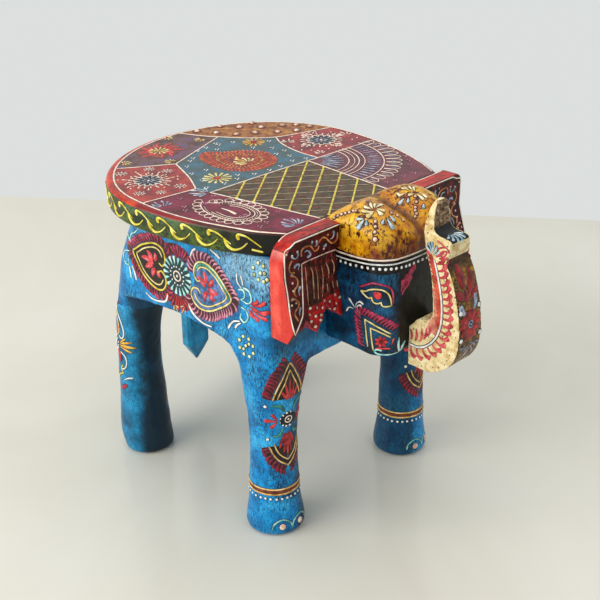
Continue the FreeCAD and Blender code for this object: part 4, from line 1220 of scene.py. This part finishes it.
def head_wrap(s, z, mirror):
    """Aims at the head's side and front, s millimetres forward from the ear round the corner."""
    side_run = -(HEAD_FRONT_Y + HEAD_CORNER - FACE_Y)
    turn_run = math.pi / 2 * HEAD_CORNER
    if s < side_run:
        spot = Vector((-HEAD_SIDE, FACE_Y - s, z))
        out = Vector((-1, 0, 0))
    elif s < side_run + turn_run:
        angle = (s - side_run) / HEAD_CORNER
        out = Vector((-math.cos(angle), -math.sin(angle), 0))
        spot = Vector((HEAD_CORNER - HEAD_SIDE, HEAD_FRONT_Y + HEAD_CORNER, z)) + out * HEAD_CORNER
    else:
        out = Vector((0, -1, 0))
        spot = Vector((HEAD_CORNER - HEAD_SIDE + s - side_run - turn_run, HEAD_FRONT_Y, z))
    if mirror < 0:
        spot.x = -spot.x
        out.x = -out.x
    return spot + out * 12, -out


def face_paint(sheet):
    sheet.stroke([(2, 228.6), (17, 228.6), (32, 229.6), (48, 231.5), (60, 231.3), (75, 229.8), (88, 229.5)],
                 1.5, "cream", rise=0.6)
    sheet.stroke([(2, 224.8), (18, 225), (34, 226.6), (48, 228.3), (60, 228), (75, 226.3), (88, 226)], 1.3,
                 "white", rise=0.5)
    for s, z in ((5, 221.8), (9.7, 221.8), (14.4, 221.8), (19, 222), (23.6, 222), (29, 222.9), (34.4, 223.4),
                 (39.5, 224.3), (44, 224.9), (48.5, 225.2), (52.5, 225.1), (56.4, 225), (60.3, 224.6),
                 (65.4, 223.7), (70.4, 222.9), (74.3, 222.5), (79, 222.3), (83.5, 222.2), (88, 222.2)):
        sheet.dot((s, z), 1.15, "white", 0.8)
    # Eye with its lid line, iris and brow
    sheet.stroke([(33.5, 205.6), (37.5, 206.2), (41.5, 208.6), (46, 209.9), (50.5, 209.6), (54.3, 207),
                  (56.5, 202.5), (57.4, 196.8)], 1.3, "pale yellow", rise=0.55)
    sheet.stroke([(33.5, 205.4), (38, 202.8), (41.5, 202.2), (43.2, 203.2), (43.5, 201.4), (45.3, 199.4),
                  (48.3, 199.3), (49.8, 200.3), (50.2, 198.3), (52, 196.9), (57, 196.9)], 1.3, "pale yellow",
                 rise=0.55)
    sheet.dot((47.6, 205.3), 2.9, "bright red", 0.9)
    sheet.dot((45.9, 206.6), 1.6, "red", 1.0)
    sheet.stroke([(32.5, 208), (38, 211.2), (44, 214), (50, 213.4), (55.5, 211.2), (58, 206.5),
                  (58.8, 198.5)], 1.5, "magenta", rise=0.45)
    # Cheek triangle with its fringe and flower
    sheet.stroke([(40.6, 164), (39.3, 172), (37.6, 184.6), (44, 183), (50, 180), (57.5, 175)], 1.4,
                 "pale yellow", rise=0.55, curved=False)
    sheet.stroke([(45, 162), (43.7, 170), (42.5, 179.3), (47, 178.2), (52, 175.8), (57, 172.6)], 1.3,
                 "pale yellow", rise=0.55, curved=False)
    border = [(34.5, 163), (33, 172), (31, 184), (33, 189.5), (42, 189), (52, 185), (61, 178.5)]
    sheet.ground(border, -3.0, 3.0, "deep maroon", 0.08)
    sheet.fringe(border, 1, 6.8, 2.7, 3.1, "magenta", gap=-3.2, lean=30, bend=0.12)
    sheet.rays((50.5, 169.3), 1.4, 4.8, 7, 3.0, "bright red", profile=LEAF)
    sheet.dot((50.5, 169.3), 1.3, "maroon")
    sheet.stroke([(46.5, 163.8), (52, 164), (57, 163.5)], 1.6, "bright red")
    sheet.petal((58, 166), (59.5, 171), 2.0, "bright red")
    sheet.strokes([[(28, 190.5), (25, 193.5), (22.3, 196)], [(27, 189.3), (22.5, 188.7), (20, 184.8)],
                   [(29, 190.5), (29.5, 194), (33, 196.6), (36, 195.4)],
                   [(30, 191), (31.5, 193.4), (34.4, 193.9)]], 1.8, "white", COMMA, 0.6)
    sheet.stroke([(51, 162.2), (48, 163.2), (45.8, 162), (47.5, 159.9), (53, 159), (60, 158.2), (67, 157.2)],
                 1.7, "aqua", rise=0.55)
    sheet.strokes([[(66, 157.6), (64.6, 163), (65, 170)], [(67, 157.6), (68.6, 161), (72, 164.5)],
                   [(55, 157.6), (60, 156.4), (65, 156.2)]], 2.9, "aqua", LEAF, 0.55)
    sheet.petals([((66, 205), (67.5, 214)), ((68, 207), (71.5, 217)), ((70.5, 209), (76.5, 219)),
                  ((70, 206), (77, 213.5)), ((67, 202), (70, 208)), ((74, 212), (81, 219.5)),
                  ((72, 214), (80.5, 221)), ((68.5, 204), (74, 209.5))], 4.0, "magenta")


def dome_petals(sheet, pale, sky):
    for petals, broader, shade, bend, rise in ((pale, 1.2, "pale cream", 0.05, 0.9),
                                               (sky, 1.3, "sky", 0.0, 1.0)):
        for start, end, width in petals:
            sheet.petal(start, end, width * broader, shade, bend, COMMA, rise)


def near_dome_paint(sheet):
    """The brow's ornament on the right dome, in millimetres on a plane that faces the eye."""
    pale = (((-0.5, 7.1), (-8.7, 7.9), 2.6), ((-1.4, 6.6), (-5.9, 4.0), 4.2),
            ((1.3, 8.3), (4.9, 4.9), 3.8), ((1.3, 9.1), (7.1, 7.4), 2.4),
            ((0.6, 10.0), (5.4, 12.2), 2.2), ((-1.4, 9.4), (-3.1, 13.1), 2.4),
            ((-2.8, 9.4), (-7.3, 10.8), 2.4), ((-0.2, 9.7), (0.0, 12.8), 2.0))
    sky = (((-7.6, 2.3), (-12.4, 2.3), 2.2), ((-7.4, 1.7), (-12.0, -4.5), 3.2),
           ((-5.6, 1.7), (-5.6, -2.2), 2.4), ((6.0, 2.3), (5.0, -1.4), 2.2),
           ((8.4, 2.3), (12.6, -4.6), 3.2), ((10.1, 4.6), (13.5, 0.7), 2.6))
    dome_petals(sheet, pale, sky)
    for place, radius in (((0.3, 0.6), 1.1), ((0.3, -2.8), 1.1), ((0.0, -6.5), 1.2), ((0.3, -11.5), 1.7),
                          ((11.1, 6.3), 1.0), ((15.0, 4.6), 1.0), ((19.0, 1.7), 1.1), ((-12.7, 8.0), 1.2)):
        sheet.dot(place, radius, "bead", 1.1)
    sheet.row_of_dots([(-28.8, 2.6), (-22.0, 5.7), (-15.6, 7.3), (-12.7, 8.9)], 2.7, 1.0, "bead", 0.9)


def far_dome_paint(sheet):
    """The same on the left dome, which turns half away."""
    pale = (((-3.9, 4.6), (-8.6, 5.2), 2.2), ((-3.3, 3.7), (-6.2, 5.8), 1.8),
            ((-0.9, 4.0), (-3.3, 6.4), 1.8), ((0.9, 3.4), (-0.3, 6.1), 2.0),
            ((2.3, 0.8), (7.2, -3.2), 2.6), ((3.8, 2.3), (9.4, -1.6), 2.4),
            ((-0.3, 1.1), (-3.9, 0.5), 2.6), ((-8.6, -0.1), (-11.8, 1.7), 2.0),
            ((-6.2, 1.7), (-10.9, -0.1), 2.4))
    sky = (((-7.1, -2.2), (-10.4, -6.3), 2.8), ((-3.9, -1.9), (-3.9, -5.1), 2.4),
           ((6.8, -6.0), (7.1, -9.5), 2.6))
    dome_petals(sheet, pale, sky)
    sheet.dots([(1.2, -0.6), (2.0, -4.5), (1.2, -8.4), (1.0, -10.6), (2.0, -12.9), (1.0, -15.0)], 1.1,
               "bead", 1.1)


# Trunk
trunk_front_run = [(-147.4, 232), (-150.1, 227.4), (-155.3, 215.4), (-159, 201.1), (-161, 187.4),
                   (-161.2, 175), (-159.1, 164.5), (-154.1, 156)]
trunk_finger_run = [(-132.8, 269), (-132.8, 257), (-134.2, 250.8)]
trunk_dark_run = [(-134.2, 250.8), (-138.4, 248.6), (-143.7, 248), (-147.6, 247)]


def near_run(place, run, reach):
    """Whether a place is close to a broken line."""
    spot = Vector(place)
    for a, b in zip(run, run[1:]):
        a, b = Vector(a), Vector(b)
        t = min(1.0, max(0.0, (spot - a).dot(b - a) / (b - a).length_squared))
        if (spot - a - (b - a) * t).length < reach:
            return True
    return False


def trunk_shade(middle, normal):
    """Cream but for the front and, between the tip's cream edges, its finger and its lower lip."""
    if abs(normal.x) > 0.62:
        return "trunk cream"
    if near_run((middle.y, middle.z), trunk_front_run, 2.6) and normal.y < 0.2:
        return "trunk tan"
    if abs(middle.x) > 9.0 - 0.1 * max(0.0, middle.z - 250):
        return "trunk cream"
    if near_run((middle.y, middle.z), trunk_dark_run, 2.2):
        return "tip dark"
    if near_run((middle.y, middle.z), trunk_finger_run, 2.2) and normal.y < 0:
        return "tip brown"
    return "trunk cream"


def trunk_side_paint(sheet):
    line = [(-117.6, 161), (-125, 160.8), (-131, 163), (-137.2, 168.2), (-142, 175), (-144.9, 183.5),
            (-145.8, 192), (-145.1, 203), (-142.7, 215), (-139.2, 227), (-137.2, 232.5)]
    sheet.ground(line[4:], -0.6, -10.5, "pink coral", 0.1)
    for shade, width, rise in (("dark", 3.2, 0.19), ("white", 1.7, 0.6)):
        sheet.stroke(line, width, shade, [(0, 1), (0.9, 1), (1, 0.5)], rise)
    # Comma strokes with round heads stand out from it, and a thicket of red leaves lies behind it
    sheet.fringe(line, 1, 9.6, 4.9, 4.4, "coral", gap=0.8, lean=30, bend=0.2, rise=0.45)
    sheet.fringe(line, 1, 8.8, 4.9, 0.9, "red", gap=0.8, lean=42, bend=0.34, rise=0.5)
    sheet.fringe(line[4:], -1, 8.6, 2.7, 1.7, "orange red", gap=1.5, lean=66, bend=-0.08, rise=0.4)
    sheet.fringe(line[4:], -1, 5.0, 3.6, 1.5, "orange red", gap=6.4, lean=60, bend=-0.08, rise=0.4)
    sheet.petals([((-120, 165), (-119, 173)), ((-123.5, 165), (-124, 175)), ((-127.5, 166), (-129, 177)),
                  ((-131, 169), (-133, 179)), ((-134.5, 173), (-136, 182))], 2.6, "coral", 0.1, LEAF, 0.4)
    for start, end in (((-134.5, 236), (-130, 240)), ((-135, 237), (-131.8, 243.6)),
                       ((-135.5, 237), (-134.6, 245)), ((-136.5, 236.5), (-139.4, 243)),
                       ((-137, 235.5), (-141.6, 239.4))):
        sheet.stroke([start, end], 4.0, "dark", COMMA, 0.19)
        sheet.petal(start, end, 2.2, "sky", 0.05, COMMA, 0.6)
    sheet.strokes([
        [(-140, 236), (-144, 240), (-147.5, 241), (-146, 237.5), (-141.5, 234)],
        [(-141, 231.5), (-145, 233.5), (-147, 236), (-144, 230.5)],
        [(-139, 246.5), (-143, 245.5), (-146, 243.6)],
        [(-139, 240), (-143.5, 243), (-147.5, 243.5), (-149.5, 240.5)], [(-143, 237.5), (-145, 239)],
        [(-138.5, 235), (-142, 236.5), (-145.5, 239.5)], [(-147.5, 237.5), (-149, 234.5), (-148, 231.5)],
    ], 1.2, "coral", rise=0.3)
    specks = [(-146, 244), (-148, 245), (-131, 250), (-134, 254), (-129.5, 256), (-131, 262), (-130, 266),
              (-145, 152), (-150, 156), (-140, 150), (-154, 165), (-152, 160), (-157, 185), (-156, 210),
              (-130, 153), (-128, 247)]
    sheet.dots(specks, 0.6, "brown", 0.15)


def trunk_front_paint(sheet):
    sheet.petal((-3, 213), (-4, 230), 9.0, "maroon", 0.0, LEAF, 0.4)
    sheet.petal((-3, 207), (-10.5, 214), 7.5, "maroon", 0.15, LEAF, 0.4)
    sheet.petal((2, 208), (6, 225), 8.0, "maroon", -0.1, LEAF, 0.4)
    sheet.petal((3, 205), (10.5, 212), 6.5, "maroon", -0.15, LEAF, 0.4)
    sheet.petal((-1, 203), (-1.5, 212), 6.5, "maroon", 0.0, LEAF, 0.4)
    sheet.petal((0, 194.5), (-9.5, 203), 6.0, "slate", 0.2, COMMA, 0.5)
    sheet.petal((1.5, 195), (7.5, 207.5), 5.0, "slate", -0.2, COMMA, 0.5)
    heart = (0, 187)
    sheet.dot(heart, 11.0, "maroon", 0.19)
    sheet.rays(heart, 3.4, 12.4, 12, 4.2, "red", profile=LEAF)
    sheet.dot((0, 187.2), 3.2, "dark", 0.45)
    sheet.stroke(ring((0, 187.2), 2.4, count=14), 0.9, "slate", rise=0.7)
    sheet.dot((0, 187.2), 0.9, "slate", 0.8)
    for place in ((-10, 198), (10.4, 198), (-10.4, 177.6), (10.6, 177.4)):
        sheet.dot(place, 2.7, "dark", 0.2)
        sheet.dot(place, 1.8, "white", 0.9)
    sheet.petals([((0, 173), (-7, 168)), ((0, 173), (7, 168)), ((-1, 170), (-4, 163)), ((1, 170), (5, 163)),
                  ((-5, 172), (-10, 171)), ((5, 172), (10, 170))], 2.2, "slate", 0.1, COMMA, 0.4)


def trunk_tip_paint(sheet):
    """Slate leaves on the dark top of the lower lip, seen from above."""
    sheet.petals([((-2, -136.5), (-6.5, -144)), ((-1, -137), (-3, -146.5)), ((0.5, -137), (1.5, -147)),
                  ((2, -137), (5, -145.5)), ((-3, -136), (-7.5, -139.5)), ((3, -136.5), (7.5, -141))], 2.2,
                 "sky", 0.08, COMMA, 0.5)


# Ears: the sunk folds lie within this side and below this height, and their tips below the last
FOLD_SIDE = 78.3
FOLD_TOP = 232.3
TIP_TOP = 199.0


def ear_shade(middle, normal):
    if normal.z > 0.6:
        return "ear top"
    if normal.y > -0.45:
        return "ear coral"
    if abs(middle.x) < FOLD_SIDE and middle.z < FOLD_TOP:
        return "ear tip" if middle.z < TIP_TOP else "ear fold"
    return "ear maroon"


def ear_paint(sheet):
    outer = [(-42, 250.2), (-80, 250.2), (-85.5, 249.7), (-89.3, 247.9), (-94.2, 246.6), (-94.9, 241),
             (-94.9, 228), (-92.8, 215), (-90.6, 200), (-88.3, 189), (-86.3, 181.6)]
    sheet.stroke(outer, 1.2, "cream", rise=0.45)
    sheet.stroke([(-86, 181.6), (-80.5, 190), (-78.4, 196), (-78.6, 214), (-79, 230), (-77.5, 232.9),
                  (-60, 233.2), (-41, 232.4)], 1.2, "cream", rise=0.45)
    sheet.strokes([
        [(-62.6, 243), (-61, 244.6), (-58.7, 245.4), (-55.5, 244.4), (-51.1, 239.7), (-47.8, 238.3),
         (-44.4, 240.1), (-43.9, 244.9)],
        [(-79.2, 238.2), (-79.1, 242.2), (-75.9, 244), (-70.6, 243.1), (-68, 240.2), (-66.4, 238.1),
         (-63.1, 238.7), (-62.6, 240.8)],
        [(-88.1, 238.3), (-90.2, 235.4), (-90.8, 232.4), (-89.3, 229.8), (-85.7, 228.6)],
        [(-89.9, 227.6), (-85.8, 225.7), (-83.2, 222.4), (-83.3, 218.3), (-86, 215.9), (-86.1, 212.6),
         (-84.5, 210.4)],
        [(-89.8, 209), (-86.1, 208.9), (-82.5, 205.5), (-82.5, 202.1), (-85.3, 199.7), (-85.9, 196.6),
         (-82.8, 191.1)],
    ], 1.5, "vine", rise=0.5)
    sheet.strokes([
        [(-76, 240.4), (-73.8, 240.9), (-71.2, 238.8), (-70.7, 236.4), (-73.9, 235.9)],
        [(-51.1, 242.2), (-48.9, 242.3), (-47.2, 245.1), (-48.3, 247.3)],
        [(-69, 243.8), (-68.9, 245), (-68.4, 246.3)], [(-66.3, 241.3), (-64.2, 242.3), (-64.7, 245.5)],
        [(-84.4, 238.3), (-82.3, 240), (-82.8, 243.2)], [(-84.4, 238.3), (-87.5, 240), (-88, 242.2)],
        [(-82.5, 229.5), (-81.4, 233.2), (-84.5, 233.5), (-86.1, 231.8)],
        [(-81.3, 210.1), (-82, 213.6), (-80.7, 217)], [(-81.6, 195), (-81.6, 197.6), (-80.4, 201)],
        [(-89.8, 227.8), (-87.6, 228)], [(-89.6, 209.4), (-87, 210)],
        [(-58, 239.5), (-56.4, 238.2), (-55, 240)],
    ], 2.5, "slate", COMMA, 0.5)
    sheet.dots([(-93, 244), (-88, 241.6), (-87.9, 221.5), (-88.9, 205.2), (-82.8, 243), (-57.5, 237),
                (-87.4, 215.5), (-53.5, 246), (-84.6, 205.5)], 0.9, "bead", 0.5)
    # Lines down the folds and dots on the folds' tips
    sheet.strokes([
        [(-75.6, 229.7), (-74.7, 220.3), (-72.9, 199.4)],
        [(-70.8, 228), (-68.7, 223.2), (-67.8, 213.7), (-67.3, 202.5)],
        [(-66, 226.4), (-63.9, 217.4), (-63, 200.9)], [(-60, 225.2), (-58.4, 216.3), (-59.1, 201.2)],
        [(-55.6, 226.2), (-52.8, 219.4), (-52.9, 213.5)], [(-50, 226.9), (-47.2, 220.9), (-47.8, 214.3)],
        [(-43.9, 223.2), (-41.6, 219), (-42.2, 214.1)], [(-54.5, 210), (-53.5, 203)],
        [(-49, 210), (-48, 204)], [(-44.5, 209), (-43.4, 203)],
    ], 1.1, "pink tan", [(0, 0.4), (0.3, 1), (0.8, 1), (1, 0.5)], 0.35)
    sheet.dots([
        (-71.3, 196.7), (-64.7, 194.7), (-59.1, 192.6), (-57.4, 197.6), (-51.8, 195.1), (-46.7, 198.1),
        (-41.5, 194.5), (-45.5, 191.1), (-46.7, 187.2), (-72.2, 191.9), (-65.9, 188.6), (-60.5, 187.5),
        (-60.9, 183.7), (-70.3, 186), (-66.2, 180.5), (-51.5, 189.5),
    ], 1.1, "bead", 0.6, 1.3)


def ear_top_paint(sheet):
    sheet.stroke([(-41.5, -63.9), (-60, -63.9), (-80, -63.9), (-87, -63.9)], 1.0, "cream", rise=0.35)


# Put the pieces together
seat = seat_board()
body_skin = body_and_legs()
head_piece = carved("head_carved", ["head", "trunk_dowels", "head_dowels"], 0.95, 3, 0.35,
                    ["dome gold", "black", "face blue"], head_shade)
trunk_piece = carved("trunk_carved", ["trunk"], 0.62, 5, 0.22,
                     ["trunk cream", "trunk tan", "tip brown", "tip dark"], trunk_shade)
ear_pieces = [carved(ear + "_carved", [ear], 0.6, 2, 0.15,
                     ["ear coral", "ear maroon", "ear fold", "ear tip", "ear top"], ear_shade)
              for ear in ("ear_right", "ear_left")]
tail_piece = carved("tail_carved", ["tail"], 0.8, 3, 0.2, ["tail blue"])
stands_in(head_piece, "head")
stands_in(trunk_piece, "trunk")
stands_in(ear_pieces[0], "ear_right")
stands_in(ear_pieces[1], "ear_left")
stands_in(tail_piece, "tail")
for node in ("seat_dowels", "head_dowels", "trunk_dowels", "ear_dowels", "tail_dowels"):
    slots = nodes[node].data.materials
    if len(slots) == 0:
        slots.append(grounds["dowel"])
    for index in range(len(slots)):
        slots[index] = grounds["dowel"]

seat_skin = skin_of(seat)
head_skin = skin_of(head_piece)
trunk_skin = skin_of(trunk_piece)

rim_places = [(x, y) for x, y, z in seat_ring(0.0, SEAT_TOP)[:ROUND_COUNT + 1]]
rim_lengths = [0.0]
for a, b in zip(rim_places, rim_places[1:]):
    rim_lengths.append(rim_lengths[-1] + math.dist(a, b))


def rim_aim(u, v):
    """Aims inwards at the rim, u millimetres along it from the left ear round the back."""
    u = min(max(u, 0.0), rim_lengths[-1])
    i = min(len(rim_places) - 2, max(0, sum(1 for s in rim_lengths if s <= u) - 1))
    a, b = rim_places[i], rim_places[i + 1]
    t = (u - rim_lengths[i]) / (rim_lengths[i + 1] - rim_lengths[i])
    along = Vector((b[0] - a[0], b[1] - a[1], 0)).normalized()
    spot = Vector((a[0] + (b[0] - a[0]) * t, a[1] + (b[1] - a[1]) * t, v))
    inward = Vector((0, 0, 1)).cross(along)
    if inward.dot(Vector((0, SEAT_MIDDLE_Y, v)) - spot) < 0:
        inward = -inward
    return spot - inward * 10, inward


def painted(paint, *sheet_values):
    """A sheet with one of the ornaments above laid on it."""
    sheet = Sheet(*sheet_values)
    paint(sheet)
    sheet.finish()


def seat_ornament(sheet):
    for patch in (seat_lines, seat_tan_and_purple, seat_coral_patch, seat_maroon_patch, seat_teal_patch,
                  seat_olive_patch, seat_red_and_fan):
        patch(sheet)


painted(seat_ornament, "seat_ornament", seat_skin, from_above, "seat_paint", "brown edge", 0.6)
painted(rim_scrolls, "rim_ornament", seat_skin, rim_aim, "seat_paint", "edge", 0.9)
for side, mirror in (("right", 1), ("left", -1)):
    painted(body_side_paint, "body_ornament_" + side, body_skin,
            from_the_eye(lambda u, v: (-BODY_SIDE * mirror, u, v), mirror), "body_paint", "edge", 1.1)
    # Each pair of legs: where a leg's axis stands, which way its motif faces in degrees, and the motif
    for row, middle_x, middle_y, facing, paint in (("front", 74.6, -40.4, 8.0, leg_paint),
                                                   ("rear", 72.8, 117.3, 125.0, rear_leg_paint)):
        def leg_aim(u, v):
            angle = math.radians(facing) + u / LEG_RADIUS
            out = Vector((-math.sin(angle) * mirror, -math.cos(angle), 0))
            return Vector((-middle_x * mirror, middle_y, v)) + out * 34, -out
        painted(paint, "leg_ornament_" + row + "_" + side, body_skin, leg_aim, "body_paint", "edge", 1.0)
    painted(face_paint, "face_ornament_" + side, head_skin, lambda u, v: head_wrap(u, v, mirror),
            "head_paint", "edge", 1.0)
    # The middle of each dome's ornament
    brow = Vector((-27.5, -97.0, 252.5) if mirror > 0 else (22.0, -90.0, 256.0))
    painted(near_dome_paint if mirror > 0 else far_dome_paint, "dome_ornament_" + side, head_skin,
            from_the_eye(lambda u, v: brow + right * u + upward * v, 1), "head_paint", "brown edge", 1.5)
    painted(trunk_side_paint, "trunk_ornament_" + side, trunk_skin,
            from_the_eye(lambda u, v: (-TRUNK_SIDE * mirror, u, v), mirror), "trunk_paint", "red edge", 0.5)
    ear_skin = skin_of(ear_pieces[0 if mirror > 0 else 1])
    painted(ear_paint, "ear_ornament_" + side, ear_skin,
            from_the_eye(lambda u, v: (u * mirror, EAR_FRONT_Y, v), mirror), "ear_paint", "edge", 0.8)
    painted(ear_top_paint, "ear_edge_line_" + side, ear_skin, lambda u, v: from_above(u * mirror, v),
            "ear_paint")
painted(trunk_front_paint, "trunk_front_ornament", trunk_skin,
        lambda u, v: (Vector((u, -220.0, v)), Vector((0, 1, 0))), "trunk_paint", "brown edge", 1.0)
painted(trunk_tip_paint, "trunk_tip_ornament", trunk_skin,
        lambda u, v: (Vector((u, v - 14, 262.0)), Vector((0, 0.55, -0.835)).normalized()), "trunk_paint")

# Floor: pale cream polished stone with faint clouds, up to where the room's wall begins. It reaches
# this far from below the camera to each side, backwards, and ahead to the wall at its left and right
FLOOR_SIDE = 2400
FLOOR_NEAR = 2600
WALL_LEFT = 1745
WALL_RIGHT = 1015
floor_paint = bpy.data.materials.new("polished_cream_floor")
floor_paint.use_nodes = True
tree = floor_paint.node_tree
tree.nodes.clear()
spot = add(tree, "ShaderNodeTexCoord").outputs["Object"]
clouds = add(tree, "ShaderNodeTexNoise", {"Vector": spot, "Scale": 3.2, "Detail": 5.0, "Roughness": 0.55,
                                          "Distortion": 0.8})
tone = add(tree, "ShaderNodeValToRGB", {0: clouds},
           [(0.35, linear("#dcd9cb")), (0.55, linear("#e2e0d3")), (0.75, linear("#e8e6dd"))])
gloss = add(tree, "ShaderNodeMapRange", {0: clouds, 1: 0.3, 2: 0.7, 3: 0.10, 4: 0.20})
stone = add(tree, "ShaderNodeBsdfPrincipled", {"Base Color": tone, "Roughness": gloss, "IOR": 1.5})
add(tree, "ShaderNodeOutputMaterial", {0: stone})
ahead = Vector((-back.x, -back.y, 0)).normalized()
across = Vector((ahead.y, -ahead.x, 0))
ground = Vector((EYE.x, EYE.y, 0))
near_edge = ground - ahead * FLOOR_NEAR
floor = piece_from("floor",
                   [ground + ahead * WALL_LEFT - across * FLOOR_SIDE,
                    ground + ahead * WALL_RIGHT + across * FLOOR_SIDE,
                    near_edge + across * FLOOR_SIDE, near_edge - across * FLOOR_SIDE],
                   [(0, 3, 2, 1)], [floor_paint], [0], False)

# Room light: a pale wall all round, brighter to the camera and in reflections than as a lamp
world = bpy.data.worlds.new("pale_room")
bpy.context.scene.world = world
world.use_nodes = True
tree = world.node_tree
tree.nodes.clear()
seen = add(tree, "ShaderNodeLightPath")
direct = add(tree, "ShaderNodeMath", {0: seen.outputs["Is Camera Ray"], 1: seen.outputs["Is Glossy Ray"]},
             operation="MAXIMUM")
direct = add(tree, "ShaderNodeMath", {0: direct, 1: seen.outputs["Is Transmission Ray"]},
             operation="MAXIMUM")
wall = add(tree, "ShaderNodeBackground", {0: linear("#dcdfde"), 1: 1.0})
soft = add(tree, "ShaderNodeBackground", {0: linear("#eef0f0"), 1: 0.56})
both = add(tree, "ShaderNodeMixShader", {0: direct, 1: soft, 2: wall})
add(tree, "ShaderNodeOutputWorld", {0: both})


def lamp(name, place, target, size, power, colour):
    """A soft rectangular lamp that faces a target, placed in metres."""
    light = bpy.data.lights.new(name, "AREA")
    light.shape = "RECTANGLE"
    light.size = size[0]
    light.size_y = size[1]
    light.energy = power
    light.color = linear(colour)[:3]
    made = link(bpy.data.objects.new(name, light))
    made.location = place
    made.rotation_euler = (Vector(target) - Vector(place)).to_track_quat("-Z", "Y").to_euler()


lamp("window_lamp", (-2.5, 0.85, 1.25), (0, 0, 0.12), (2.8, 1.8), 66.0, "#fffaf2")
lamp("ceiling_lamp", (0.1, 0.1, 2.0), (0, 0, 0.1), (2.2, 2.2), 16.0, "#ffffff")
lamp("front_lamp", (-0.35, -1.8, 0.75), (0, -0.05, 0.15), (0.9, 0.9), 3.4, "#f8faff")

camera_data = bpy.data.cameras.new("photo_camera")
camera_data.sensor_width = 36.0
camera_data.sensor_fit = "AUTO"
camera_data.lens = 68.92
camera_data.clip_start = 0.05
camera_data.clip_end = 20.0
camera = link(bpy.data.objects.new("photo_camera", camera_data))
pose = Matrix((right, upward, back)).transposed().to_4x4()
pose.translation = EYE * MM
camera.matrix_world = pose
bpy.context.scene.camera = camera
bpy.context.scene.view_settings.view_transform = "Standard"
